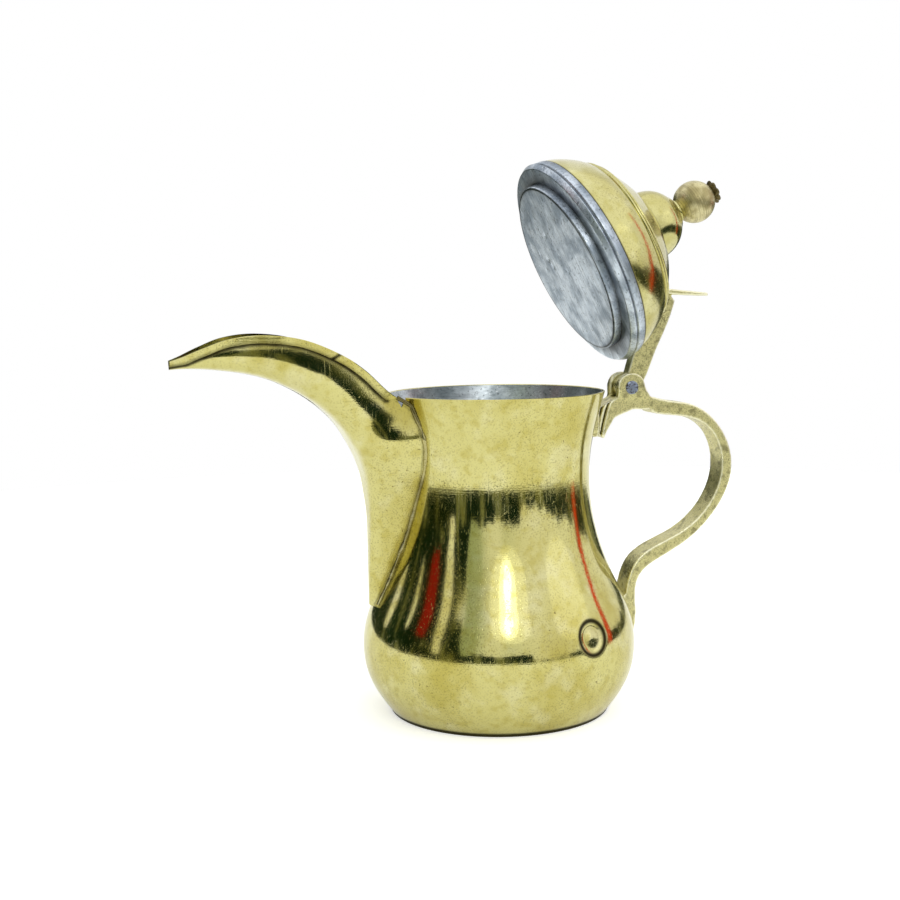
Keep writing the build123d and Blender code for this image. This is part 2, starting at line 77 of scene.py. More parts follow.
class Kind(Enum):
    """The kinds of shader node that the finishes use."""

    COORDS = "ShaderNodeTexCoord"
    PLACE = "ShaderNodeMapping"
    NOISE = "ShaderNodeTexNoise"
    RANGE = "ShaderNodeMapRange"
    MATH = "ShaderNodeMath"
    MIX = "ShaderNodeMix"
    RAMP = "ShaderNodeValToRGB"
    BUMP = "ShaderNodeBump"
    FACE = "ShaderNodeNewGeometry"
    SPLIT = "ShaderNodeSeparateXYZ"
    RAY = "ShaderNodeLightPath"


# ---------------------------------------------------------------- shapes


def between(t: float, here: np.ndarray, leave: np.ndarray, there: np.ndarray, reach: np.ndarray) -> np.ndarray:
    """Give a place a share t of the way between two, with the directions in which it leaves and reaches them."""
    return ((2 * t**3 - 3 * t**2 + 1) * here + (t**3 - 2 * t**2 + t) * leave + (3 * t**2 - 2 * t**3) * there
            + (t**3 - t**2) * reach)


def smooth_line(points: list[Point], start: Point, end: Point, steps: int) -> list[Point]:
    """Draw a smooth cubic line through points with given directions at its ends.

    Args:
        points: Places that the line goes through.
        start: Direction of the line at the first point, with its pull as length.
        end: Direction of the line at the last point, with its pull as length.
        steps: Number of places to return, less one.

    Returns:
        Evenly spread places along the line.
    """
    knots = np.array(points, float)
    chords = np.hypot(*np.diff(knots, axis=0).T)
    count = len(knots)
    left, right = np.eye(count), np.zeros((count, 2))
    right[0], right[-1] = start, end
    for i in range(1, count - 1):
        before, after = chords[i - 1], chords[i]
        left[i, i - 1 : i + 2] = after, 2 * (before + after), before
        rise = before * (knots[i + 1] - knots[i]) / after + after * (knots[i] - knots[i - 1]) / before
        right[i] = 3 * rise
    slopes = np.linalg.solve(left, right)
    stops = np.concatenate([[0], np.cumsum(chords)])
    line = []
    for value in np.linspace(0, stops[-1], steps + 1):
        i = min(int(np.searchsorted(stops, value, side="right")) - 1, count - 2)
        t = (value - stops[i]) / chords[i]
        place = between(t, knots[i], chords[i] * slopes[i], knots[i + 1], chords[i] * slopes[i + 1])
        line.append((float(place[0]), float(place[1])))
    return line


def leaning(degrees: float, pull: float = 1.18) -> Point:
    """Give a direction that leans out of the vertical by an angle."""
    return (pull * math.sin(math.radians(degrees)), pull * math.cos(math.radians(degrees)))


def arc(centre: Point, radius: float, first: float, last: float, steps: int) -> list[Point]:
    """Give the places of an arc, with its angles in degrees."""
    angles = [math.radians(first + (last - first) * i / steps) for i in range(steps + 1)]
    return [(centre[0] + radius * math.cos(a), centre[1] + radius * math.sin(a)) for a in angles]


def beneath(line: list[Point], wall: float) -> list[Point]:
    """Give the line that runs a wall's thickness to the left of another, towards the axis of a rising wall.

    Args:
        line: The outer line, from its foot up.
        wall: The wall's thickness.

    Returns:
        The inner line, which never crosses the axis.
    """
    run = np.array(line)
    along = np.gradient(run, axis=0)
    along /= np.hypot(*along.T)[:, None]
    return [(max(float(r), 0.0), float(h)) for r, h in run + wall * np.column_stack([-along[:, 1], along[:, 0]])]


def rounded(corners: list[Point], radius: float, steps: int = 4) -> list[Point]:
    """Round the corners of a closed outline, leaving those on the axis sharp.

    Args:
        corners: The outline's corners in order.
        radius: Radius of the rounding, less where a side is short.
        steps: Faces around each rounded corner.

    Returns:
        The rounded outline.
    """
    line = []
    for i, corner in enumerate(corners):
        here, before, after = (np.array(corners[j % len(corners)]) for j in (i, i - 1, i + 1))
        reach = min(radius, 0.45 * np.linalg.norm(before - here), 0.45 * np.linalg.norm(after - here))
        if corner[0] < 1e-6:
            line.append(corner)
            continue
        first = here + (before - here) / np.linalg.norm(before - here) * reach
        last = here + (after - here) / np.linalg.norm(after - here) * reach
        for t in np.linspace(0, 1, steps + 1):
            spot = (1 - t) ** 2 * first + 2 * t * (1 - t) * here + t**2 * last
            line.append((float(spot[0]), float(spot[1])))
    return line


def spin_outline(outline: list[Point], place: Matrix, steps: int, closed: bool = True) -> bmesh.types.BMesh:
    """Turn an outline of radii and heights about the Z axis and put it in its place.

    Args:
        outline: Radius and height of each point of the section.
        place: The turned shape's frame.
        steps: Faces in a full turn.
        closed: Whether the outline's last point joins its first.

    Returns:
        The turned mesh, with its faces pointing outwards.
    """
    bm = bmesh.new()
    verts = [bm.verts.new((radius * MM, 0, height * MM)) for radius, height in outline]
    edges = [bm.edges.new(pair) for pair in zip(verts, verts[1:])]
    if closed:
        edges.append(bm.edges.new((verts[-1], verts[0])))
    bmesh.ops.spin(bm, geom=verts + edges, cent=(0, 0, 0), axis=(0, 0, 1), angle=2 * math.pi,
                   steps=steps, use_merge=True)
    bmesh.ops.remove_doubles(bm, verts=bm.verts, dist=1e-7)
    bmesh.ops.recalc_face_normals(bm, faces=bm.faces)
    bmesh.ops.transform(bm, matrix=place, verts=bm.verts)
    return bm


def loft(rings: list[list[Vector]]) -> bmesh.types.BMesh:
    """Bridge closed rings of points one after another and close both ends.

    Args:
        rings: The rings, all with the same number of places, in metres.

    Returns:
        The closed mesh, with its faces pointing outwards.
    """
    bm = bmesh.new()
    edges: list = []
    ends = []
    for ring in rings:
        verts = [bm.verts.new(spot) for spot in ring]
        line = [bm.edges.new(pair) for pair in zip(verts, verts[1:] + verts[:1])]
        if edges:
            bmesh.ops.bridge_loops(bm, edges=edges + line)
        edges = line
        ends.append(verts)
    bm.faces.new(ends[0])
    bm.faces.new(ends[-1])
    bmesh.ops.recalc_face_normals(bm, faces=bm.faces)
    return bm


def to_object(bm: bmesh.types.BMesh, name: str, crease: float = CREASE) -> bpy.types.Object:
    """Turn a bmesh into an object, smooth but for its creases.

    Args:
        bm: The mesh, which is freed.
        name: Name of the object.
        crease: Angle in degrees past which an edge stays sharp.

    Returns:
        The new object.
    """
    mesh = bpy.data.meshes.new(name)
    bm.to_mesh(mesh)
    bm.free()
    mesh.shade_smooth()
    mesh.set_sharp_from_angle(angle=math.radians(crease))
    obj = bpy.data.objects.new(name, mesh)
    bpy.context.scene.collection.objects.link(obj)
    return obj


def bake_modifiers(obj: bpy.types.Object) -> None:
    """Apply an object's modifiers to its mesh.

    Args:
        obj: The object, which gets the mesh that its modifiers make.
    """
    graph = bpy.context.evaluated_depsgraph_get()
    graph.update()
    mesh = bpy.data.meshes.new_from_object(obj.evaluated_get(graph))
    obj.modifiers.clear()
    old = obj.data
    obj.data = mesh
    mesh.name = obj.name
    bpy.data.meshes.remove(old)


def cut(obj: bpy.types.Object, tool: bpy.types.Object) -> None:
    """Cut one object out of another.

    Args:
        obj: What is cut.
        tool: What is taken out of it.
    """
    boolean = obj.modifiers.new("cut", "BOOLEAN")
    boolean.operation = "DIFFERENCE"
    boolean.solver = "EXACT"
    boolean.object = tool
    bake_modifiers(obj)
    obj.data.set_sharp_from_angle(angle=math.radians(CREASE))


def drop(obj: bpy.types.Object) -> None:
    """Remove an object that was only a tool."""
    bpy.data.objects.remove(obj, do_unlink=True)


def move_verts(obj: bpy.types.Object, shift: Callable[[Vector, Vector], Vector]) -> None:
    """Move each point of a mesh by what a function gives for its place and its normal.

    Args:
        obj: The object whose mesh is moved.
        shift: Gives the move in metres for a point's place and normal.
    """
    mesh = obj.data
    normals = [Vector(v.normal) for v in mesh.vertices]
    for vert, normal in zip(mesh.vertices, normals):
        vert.co += shift(vert.co, normal)
    mesh.update()


def soil_and_shade(obj: bpy.types.Object, amount: Callable[[Vector], float]) -> None:
    """Write how dark each point of a mesh is, from 0 to 1, where its material reads it: old polish at the foot, the
    seams and the butt, and painted shade in creases, rings and under edges.
    """
    dirt_and_shade = obj.data.attributes.new("dirt_and_shade", "FLOAT", "POINT")
    dirt_and_shade.data.foreach_set("value", [min(1.0, amount(v.co / MM)) for v in obj.data.vertices])


def beside(value: float, line: float, width: float) -> float:
    """Give 1 on a line and less beside it, within a width."""
    return math.exp(-(((value - line) / width) ** 2))


def hand_over(obj: bpy.types.Object, body: Body, slot: Slot, material: bpy.types.Material,
              stands_for: Iterable[str] = ()) -> None:
    """Give a finished piece its material and body, and hide what it stands for.

    Args:
        obj: The piece.
        body: The body that it rides on.
        slot: The record's slot for its finish; not used.
        material: Its material.
        stands_for: Frame nodes that it replaces.
    """
    obj.data.materials.clear()
    obj.data.materials.append(material)
    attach(obj, body.value)
    if stands_for:
        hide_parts(*stands_for)
    log.info("%s: %d faces on %s", obj.name, len(obj.data.polygons), body.value)


# ---------------------------------------------------------------- the two frames


@dataclass(frozen=True)
class Hinge:
    """Where the lid turns, and how far open it stands."""

    x: float = 64.8
    level: float = 148.0
    arm: float = 62.9
    lid_open: float = 64.5

    def lid_frame(self) -> Matrix:
        """Give the open lid's frame: its origin in the middle of its foot, its Z along its axis.

        Returns:
            The frame, in metres.
        """
        turn = Matrix.Rotation(math.radians(self.lid_open), 4, "Y")
        middle = Vector((self.x, 0, self.level)) * MM - turn @ Vector((self.arm * MM, 0, 0))
        return Matrix.Translation(middle) @ turn

    def pin_frame(self) -> Matrix:
        """Give the pin's frame, its Z along the pin."""
        middle = Vector((self.x, 0, self.level)) * MM
        return Matrix.Translation(middle) @ Matrix.Rotation(math.radians(90), 4, "X")


HINGE = Hinge()
POT_FRAME = Matrix.Identity(4)
LID_FRAME = HINGE.lid_frame()


def in_lid(spot: Vector) -> Vector:
    """Give a place in the open lid's frame, in millimetres like the place itself."""
    return LID_FRAME.inverted() @ (spot * MM) / MM


# ---------------------------------------------------------------- finishes


def linear(code: str) -> tuple[float, float, float, float]:
    """Turn an sRGB hex colour into linear red, green, blue and alpha."""
    parts = [int(code[i : i + 2], 16) / 255 for i in (1, 3, 5)]
    return (*[p / 12.92 if p <= 0.04045 else ((p + 0.055) / 1.055) ** 2.4 for p in parts], 1.0)


def add(tree: Tree, kind: Kind | str, inputs: dict, out: int | str = 0, stops: list | None = None,
        **settings: object) -> Socket | None:
    """Add a node to a tree with its settings and links.

    Args:
        tree: The node tree.
        kind: The kind of node, or its type name.
        inputs: Socket name or number to its value, its hex colour or the output that feeds it.
        out: Name or number of the output to give back.
        stops: Place and value or hex colour of each stop, where the node has a band of them.
        settings: The node's own settings.

    Returns:
        The asked output, or None for a node that has no outputs.
    """
    node = tree.nodes.new(kind.value if isinstance(kind, Kind) else kind)
    for name, value in settings.items():
        setattr(node, name, value)
    for socket, value in inputs.items():
        if isinstance(value, bpy.types.NodeSocket):
            tree.links.new(value, node.inputs[socket])
        else:
            node.inputs[socket].default_value = linear(value) if isinstance(value, str) else value
    for index, (place, value) in enumerate(stops or []):
        band = node.color_ramp.elements
        element = band[index] if index < len(band) else band.new(1.0)
        element.position = place
        element.color = linear(value) if isinstance(value, str) else (value, value, value, 1.0)
    return node.outputs[out] if len(node.outputs) else None


@dataclass(frozen=True)
class Finish:
    """A metal finish, patterned in the frame of what it covers."""

    name: str
    place: Matrix = field(default_factory=lambda: POT_FRAME.copy())

    def build(self) -> bpy.types.Material:
        """Make the material.

        Returns:
            The material with its nodes.
        """
        material = bpy.data.materials.new(self.name)
        material.use_nodes = True
        tree = material.node_tree
        tree.nodes.clear()
        inverse = self.place.inverted()
        coords = add(tree, Kind.COORDS, {}, "Object")
        place = add(tree, Kind.PLACE, {0: coords, "Location": inverse.to_translation(),
                                       "Rotation": inverse.to_euler()})
        shader = add(tree, "ShaderNodeBsdfPrincipled", {"Metallic": 1.0, **self.dress(tree, place)})
        add(tree, "ShaderNodeOutputMaterial", {"Surface": shader})
        return material

    def dress(self, tree: Tree, place: Socket) -> dict[str, Socket]:
        """Draw the pattern and give what feeds the shader's sockets."""
        raise NotImplementedError

    @staticmethod
    def grain(tree: Tree, place: Socket, size: float, detail: float = 2.0, stretch: tuple = (1, 1, 1),
              turn: tuple = (0, 0, 0)) -> Socket:
        """Give a grain whose lumps are size millimetres across, stretched and turned.

        Args:
            tree: The node tree.
            place: The coordinates.
            size: Width of a lump.
            detail: Finer layers on top of it.
            stretch: How many times longer the lumps are along each axis.
            turn: Turn of the pattern in degrees.

        Returns:
            The grain, about 0.5 on average.
        """
        turned = add(tree, Kind.PLACE, {0: place, "Rotation": [math.radians(a) for a in turn],
                                        "Scale": [1 / s for s in stretch]})
        return add(tree, Kind.NOISE, {"Vector": turned, "Scale": 1 / (size * MM), "Detail": detail})

    @staticmethod
    def step(low: float, high: float, start: float = 0.0, end: float = 1.0) -> dict:
        """Give the range inputs that turn what lies between low and high into start to end."""
        return {1: low, 2: high, 3: start, 4: end}

    def paint(self, tree: Tree, base: str, layers: Iterable[tuple[Socket, tuple, str]]) -> Socket:
        """Lay tints over a base colour.

        Args:
            tree: The node tree.
            base: The hex colour underneath.
            layers: Each layer's pattern, the range of it that turns into the layer's share, and its hex colour.

        Returns:
            The painted colour.
        """
        colour: Socket | str = base
        for source, ends, tint in layers:
            share = add(tree, Kind.RANGE, {0: source, **self.step(*ends)}, **SMOOTH)
            colour = add(tree, Kind.MIX, {0: share, 6: colour, 7: tint}, 2, data_type="RGBA")
        return colour

    @staticmethod
    def add_up(tree: Tree, total: Socket, shares: Iterable[tuple[Socket, float]]) -> Socket:
        """Add a share of each pattern to a total.

        Args:
            tree: The node tree.
            total: The value to start from.
            shares: Each pattern with its share.

        Returns:
            The sum.
        """
        for source, share in shares:
            total = add(tree, Kind.MATH, {0: source, 1: share, 2: total}, operation="MULTIPLY_ADD")
        return total

    @staticmethod
    def relief(tree: Tree, layers: Iterable[tuple[Socket, float]], last_sunk: bool = False) -> Socket:
        """Lay bumps one over another.

        Args:
            tree: The node tree.
            layers: Each bump's pattern and its height in millimetres.
            last_sunk: Whether the last one's pattern is sunk in, not raised.

        Returns:
            The bumped normal.
        """
        inputs: dict[str, Socket] = {}
        layers = list(layers)
        for i, (pattern, tall) in enumerate(layers, 1):
            inputs |= {"Height": pattern, "Distance": tall * MM}
            inputs["Normal"] = add(tree, Kind.BUMP, inputs, invert=last_sunk and i == len(layers))
        return inputs["Normal"]


@dataclass(frozen=True)
class PolishedBrass(Finish):
    """Yellow brass sheet, spun and buffed.

    Many years of polishing by hand leave a pale greenish mirror that is a little wavy, with a fine brown speckle
    where old polish sits in its pits, rings from the spinning tool, hairline scratches, faint tarnish and a pale
    bloom where the cloth went most.
    """

    colour: str = "#D2CB87"
    tarnish: str = "#BCB05C"
    bloom: str = "#E6E3BC"
    residue: str = "#7C7040"
    crust_and_shade: str = "#2E2A16"
    roughness: float = 0.07

    def dress(self, tree: Tree, place: Socket) -> dict[str, Socket]:
        """Draw tarnish, speckle, pits, rings and scratches.

        Args:
            tree: The node tree.
            place: The coordinates.

        Returns:
            What feeds the shader's sockets, by their names.
        """
        patches = self.grain(tree, place, 26, 3)
        mottle = self.grain(tree, place, 4.5, 4)
        bloom = self.grain(tree, place, 13, 3, turn=(40, 10, 65))
        crowd = self.grain(tree, place, 30, 2)
        # Polish left in pits of about 0.4 mm, and a few pits of 1 mm in the places where they crowd.
        speckle = add(tree, Kind.RANGE, {0: self.grain(tree, place, 0.75, 2), **self.step(0.50, 0.66)}, **SMOOTH)
        thick = add(tree, Kind.RANGE, {0: crowd, **self.step(0.32, 0.62, 0.5, 1)}, **SMOOTH)
        speckle = add(tree, Kind.MATH, {0: speckle, 1: thick}, operation="MULTIPLY")
        pits = add(tree, Kind.RANGE, {0: self.grain(tree, place, 1.5, 1), **self.step(0.73, 0.78)}, **SMOOTH)
        few = add(tree, Kind.RANGE, {0: crowd, **self.step(0.46, 0.58)}, **SMOOTH)
        pits = add(tree, Kind.MATH, {0: pits, 1: few}, operation="MULTIPLY")
        # Hairline scratches are 0.05 mm wide, drawn at 0.5 mm so that they show.
        hair = self.grain(tree, place, 0.5, 0, stretch=(1, 1, 50), turn=(24, 18, 0))
        other = self.grain(tree, place, 0.5, 0, stretch=(1, 1, 40), turn=(-15, 62, 10))
        hair = add(tree, Kind.MATH, {0: hair, 1: other}, operation="MAXIMUM")
        hair = add(tree, Kind.RANGE, {0: hair, **self.step(0.74, 0.80)}, **SMOOTH)
        # Brown and matt: old polish along the foot, the seams and the butt, and painted shade in the dent's rings,
        # along the edging's lower edge, at the dome's feet and in the crown's groove.
        dirt_and_shade = add(tree, "ShaderNodeAttribute", {}, "Fac", attribute_name="dirt_and_shade")
        colour = self.paint(tree, self.colour, (
            (patches, (0.42, 0.76, 0, 1), self.tarnish), (mottle, (0.47, 0.70, 0, 0.6), self.tarnish),
            (bloom, (0.50, 0.70, 0, 0.35), self.bloom), (speckle, (0, 1, 0, 0.32), self.residue),
            (pits, (0, 1, 0, 0.8), self.residue), (dirt_and_shade, (0, 1, 0, 1), self.crust_and_shade)))
        rough = add(tree, Kind.RANGE, {0: patches, **self.step(0.40, 0.75, self.roughness, self.roughness + 0.05)})
        rough = self.add_up(tree, rough, ((dirt_and_shade, 0.3), (speckle, 0.06), (hair, 0.12)))
        waves = self.grain(tree, place, 15, 1)
        rings = self.grain(tree, place, 0.8, 1, stretch=(60, 60, 1))
        marks = self.add_up(tree, pits, ((hair, 0.3), (speckle, 0.16)))
        normal = self.relief(tree, ((waves, 0.10), (rings, 0.009), (marks, 0.030)), last_sunk=True)
        return {"Base Color": colour, "Roughness": rough, "Normal": normal}


@dataclass(frozen=True)
class CastBrass(Finish):
    """Yellow brass, cast in sand and filed here and there.

    The sand leaves a dull olive skin with grains of about half a millimetre, brown in its hollows. Its edges are pale
    from wear and from a painted highlight, and its inner corners carry painted shade.
    """

    colour: str = "#D3CC92"
    # Brown of the sand's hollows, also used as painted shade in inner corners; then the pale of worn edges with their
    # painted highlight.
    hollow: str = "#403B20"
    wear_and_highlight: str = "#F8F5D6"
    roughness: float = 0.31

    def dress(self, tree: Tree, place: Socket) -> dict[str, Socket]:
        """Draw the sand, its brown hollows, the pale edges that are wear with a painted highlight, and the painted
        shade in inner corners.

        Args:
            tree: The node tree.
            place: The coordinates.

        Returns:
            What feeds the shader's sockets, by their names.
        """
        sand = self.grain(tree, place, 0.6, 4)
        lumps = self.grain(tree, place, 3.5, 5)
        rubs = self.grain(tree, place, 12, 2)
        # Pointiness makes the edges pale, which is wear with a painted highlight, and the inner corners dark with
        # painted shade.
        edge = add(tree, Kind.FACE, {}, "Pointiness")
        colour = self.paint(tree, self.colour, (
            (sand, (0.50, 0.38, 0, 0.45), self.hollow), (lumps, (0.51, 0.32, 0, 0.5), self.hollow),
            (edge, (0.503, 0.54, 0, 1), self.wear_and_highlight), (edge, (0.495, 0.455, 0, 1), self.hollow)))
        rough = add(tree, Kind.RANGE, {0: rubs, **self.step(0.40, 0.70, self.roughness, self.roughness - 0.14)})
        return {"Base Color": colour, "Roughness": self.add_up(tree, rough, ((sand, 0.14),)),
                "Normal": self.relief(tree, ((lumps, 0.22), (sand, 0.20)))}


@dataclass(frozen=True)
class KnobBrass(Finish):
    """Solid yellow brass, turned on a lathe and never polished: olive brown and satin, with fine tool rings."""

    colour: str = "#D6CDA0"
    worn: str = "#AA9F72"
    residue: str = "#62573A"
    roughness: float = 0.30

    def dress(self, tree: Tree, place: Socket) -> dict[str, Socket]:
        """Draw the tool rings and the darker patches.

        Args:
            tree: The node tree.
            place: The coordinates.

        Returns:
            What feeds the shader's sockets, by their names.
        """
        patches = self.grain(tree, place, 7, 3)
        rings = self.grain(tree, place, 0.45, 2, stretch=(40, 40, 1))
        specks = self.grain(tree, place, 0.6, 2)
        colour = self.paint(tree, self.colour, (
            (patches, (0.40, 0.64, 0, 1), self.worn), (rings, (0.52, 0.64, 0, 0.35), self.residue),
            (specks, (0.62, 0.72, 0, 0.6), self.residue)))
        rough = add(tree, Kind.RANGE, {0: patches, **self.step(0.40, 0.70, self.roughness, self.roughness + 0.10)})
        return {"Base Color": colour, "Roughness": self.add_up(tree, rough, ((rings, 0.10),)),
                "Normal": self.relief(tree, ((rings, 0.03), (specks, 0.03)))}


@dataclass(frozen=True)
class Tinned(Finish):
    """Copper sheet, wiped with molten tin.

    The cloth leaves a soft blue grey with faint wipe marks and clouds, dark grey freckles where the tin is worn
    and pale scuffs where something has knocked it.
    """

    colour: str = "#D6E0EC"
    cloud: str = "#A2AFBE"
    worn: str = "#50565C"
    scuff: str = "#FAFCFD"
    grime_and_shade: str = "#2C3032"
    roughness: float = 0.25

    def dress(self, tree: Tree, place: Socket) -> dict[str, Socket]:
        """Draw the clouds, wipe marks, freckles and scuffs.

        Args:
            tree: The node tree.
            place: The coordinates.

        Returns:
            What feeds the shader's sockets, by their names.
        """
        clouds = self.grain(tree, place, 10, 5)
        freckles = self.grain(tree, place, 1.3, 4)
        scuffs = self.grain(tree, place, 1.0, 2, stretch=(4, 1, 1), turn=(0, 0, 22))
        wipes = self.grain(tree, place, 0.8, 3, stretch=(18, 1, 1), turn=(0, 0, 14))
        dirt_and_shade = add(tree, "ShaderNodeAttribute", {}, "Fac", attribute_name="dirt_and_shade")
        colour = self.paint(tree, self.colour, (
            (clouds, (0.36, 0.66, 0, 1), self.cloud), (wipes, (0.42, 0.66, 0, 0.30), self.worn),
            (freckles, (0.58, 0.72, 0, 0.7), self.worn), (scuffs, (0.66, 0.74, 0, 0.6), self.scuff)))
        # Painted shade in the liner's corner, bend, groove and under the dome, with a few blots of old polish.
        colour = add(tree, Kind.MIX, {0: dirt_and_shade, 6: colour, 7: self.grime_and_shade}, 2, data_type="RGBA")
        rough = add(tree, Kind.RANGE, {0: clouds, **self.step(0.35, 0.70, self.roughness, self.roughness + 0.12)})
        marks = add(tree, Kind.MATH, {0: wipes, 1: freckles}, operation="ADD")
        return {"Base Color": colour, "Roughness": self.add_up(tree, rough, ((wipes, 0.14),)),
                "Normal": self.relief(tree, ((clouds, 0.30), (marks, 0.03)))}


@dataclass(frozen=True)
class PeenedSteel(Finish):
    """Mild steel rod, headed cold with a hammer: blue grey and dented, with brown rust in its dents."""

    colour: str = "#8790A2"
    rust: str = "#4C4440"
    roughness: float = 0.32

    def dress(self, tree: Tree, place: Socket) -> dict[str, Socket]:
        """Draw the hammer's dents and the rust in them.

        Args:
            tree: The node tree.
            place: The coordinates.

        Returns:
            What feeds the shader's sockets, by their names.
        """
        dents = self.grain(tree, place, 1.1, 2)
        share = add(tree, Kind.RANGE, {0: dents, **self.step(0.50, 0.66)})
        colour = add(tree, Kind.MIX, {0: share, 6: self.colour, 7: self.rust}, 2, data_type="RGBA")
        rough = add(tree, Kind.RANGE, {0: dents, **self.step(0.40, 0.70, self.roughness, self.roughness + 0.25)})
        return {"Base Color": colour, "Roughness": rough, "Normal": self.relief(tree, ((dents, 0.12),))}


# ---------------------------------------------------------------- pot body


@dataclass
class PotShell:
    """The spun shell with its tinned inside, and the disc soldered under it."""

    brass: bpy.types.Material
    tin: bpy.types.Material
    height: float = 148.0
    base: float = 51.3
    belly: float = 63.35
    belly_level: float = 31.0
    shoulder: float = 54.7
    shoulder_level: float = 60.0
    waist: float = 43.0
    waist_level: float = 109.0
    mouth: float = 50.3
    wall: float = 1.2
    plate: float = 1.4
    lining: float = 0.15
    lining_gap: float = 0.02
    lining_drop: float = 0.3
    foot_dirt: float = 0.9
    steps: int = 320
    rows: tuple[int, int, int] = (26, 56, 26)
    foot_lean: float = 38.0
    mouth_lean: float = 15.0
    dent: tuple[float, float, float] = (26.0, -55.6, 42.7)
    dent_radius: float = 9.0
    dent_depth: float = 1.25
    dent_bank: float = 0.5
    dent_crown: float = 0.22
    # Painted shade around the dent: share of its radius, amount and width of each ring.
    dent_shade_rings: tuple[tuple[float, float, float], ...] = ((0.84, 1.0, 1.2), (0.48, 0.2, 0.7))

    def outline(self, inset: float) -> list[Point]:
        """Draw the wall from the base up to the mouth, moved in by inset.

        Args:
            inset: How far inside the outer surface the line runs.

        Returns:
            Radius and level of each place.
        """
        foot = [(self.base, self.plate), (self.belly, self.belly_level)]
        side = [(self.belly, self.belly_level), (self.shoulder, self.shoulder_level), (self.waist, self.waist_level)]
        neck = [(self.waist, self.waist_level), (self.mouth, self.height)]
        line = smooth_line(foot, leaning(self.foot_lean), leaning(0), self.rows[0])
        line += smooth_line(side, leaning(0), leaning(0), self.rows[1])[1:]
        line += smooth_line(neck, leaning(0), leaning(self.mouth_lean), self.rows[2])[1:]
        return [(radius - inset, level) for radius, level in line]

    def radius_at(self, level: float) -> float:
        """Give the shell's outer radius at a level."""
        line = self.outline(0)
        return float(np.interp(level, [p[1] for p in line], [p[0] for p in line]))

    def form(self) -> bpy.types.Object:
        """Make the solid form of the body, as a tool to trim other pieces.

        Returns:
            The closed form.
        """
        line = self.outline(0)
        outline = [(0.0, line[0][1]), *line, (0.0, line[-1][1])]
        return to_object(spin_outline(outline, POT_FRAME, self.steps, closed=False), "body_tool")

    def dimple(self, co: Vector, normal: Vector) -> Vector:
        """Give how far a knock has pushed a point of the shell in.

        Args:
            co: The point's place in metres.
            normal: Its normal.

        Returns:
            The move in metres.
        """
        knock = Vector(self.dent) * MM
        far = (co - knock).length / (self.dent_radius * MM)
        if far >= 1:
            return Vector()
        outward = Vector((knock.x, knock.y, 0)).normalized()
        bank = min(1.0, (1 - far) / self.dent_bank)
        sunk = bank * bank * (3 - 2 * bank) - self.dent_crown * max(0.0, 1 - far / self.dent_bank) ** 2
        return -outward * self.dent_depth * MM * sunk

    def grime_and_shade(self, spot: Vector) -> float:
        """Give the painted shade in the dent's rings and the old polish along the foot's edge.

        Args:
            spot: The place in millimetres.

        Returns:
            How dark it is, from 0 up.
        """
        far = (spot - Vector(self.dent)).length
        rings = sum(amount * beside(far, share * self.dent_radius, width) for share, amount, width in self.dent_shade_rings)
        return rings + self.foot_dirt * beside(spot.z, self.plate - 0.2, 0.7)

    def refine(self, bm: bmesh.types.BMesh) -> None:
        """Divide the faces around the knock so that its rim is crisp.

        Args:
            bm: The shell's mesh.
        """
        knock = Vector(self.dent) * MM
        reach = 1.15 * self.dent_radius * MM
        edges = [e for e in bm.edges if all((v.co - knock).length < reach for v in e.verts)]
        bmesh.ops.subdivide_edges(bm, edges=edges, cuts=3, use_grid_fill=True)

    def build(self, throat: bpy.types.Object) -> None:
        """Build the shell, its lining and the disc.

        Args:
            throat: The tool that opens the neck behind the spout.
        """
        outer, inner = self.outline(0), self.outline(self.wall)
        rim = arc((self.mouth - self.wall / 2, self.height - self.wall / 2), self.wall / 2, 20, 160, 6)
        bm = spin_outline(outer[:-1] + rim + inner[-2::-1], POT_FRAME, self.steps)
        self.refine(bm)
        shell = to_object(bm, "spun_shell")
        move_verts(shell, self.dimple)
        cut(shell, throat)
        # Painted shade in rings around the dent, and old polish along the foot.
        soil_and_shade(shell, self.grime_and_shade)
        hand_over(shell, Body.POT, Slot.POLISHED, self.brass, ["pot_body"])
        near, far = (self.outline(self.wall + self.lining_gap + thick) for thick in (0.0, self.lining))
        near[-1], far[-1] = ((line[-1][0] - 0.1, self.height - self.lining_drop) for line in (near, far))
        lining = to_object(spin_outline(near + far[::-1], POT_FRAME, self.steps), "tin_lining")
        move_verts(lining, self.dimple)
        cut(lining, throat)
        hand_over(lining, Body.POT, Slot.TINNED, self.tin)
        self.build_base()

    def build_base(self) -> None:
        """Build the disc with the run of solder around it, and the tinned floor inside."""
        radius = self.base - 0.3
        outline = [(0.0, 0.35), (radius * 0.72, 0.3), (radius - 5.0, 0.0), (radius - 0.5, 0.0), (radius, 0.45)]
        outline += [(radius, 1.0), (self.base - 0.2, self.plate + 0.02), (0.0, self.plate + 0.02)]
        disc = to_object(spin_outline(outline, POT_FRAME, self.steps, closed=False), "base_plate")
        soil_and_shade(disc, lambda spot: self.foot_dirt * beside(math.hypot(spot.x, spot.y), radius, 1.2))
        hand_over(disc, Body.POT, Slot.POLISHED, self.brass, ["base_disc"])
        radius = self.base - self.wall - 0.1
        outline = [(0.0, self.plate + 0.04), (radius, self.plate + 0.04), (radius, self.plate + 0.7)]
        outline += [(radius - 1.4, self.plate + 0.3), (0.0, self.plate + 0.3)]
        floor = to_object(spin_outline(outline, POT_FRAME, self.steps, closed=False), "tin_floor")
        hand_over(floor, Body.POT, Slot.TINNED, self.tin)


# ---------------------------------------------------------------- spout


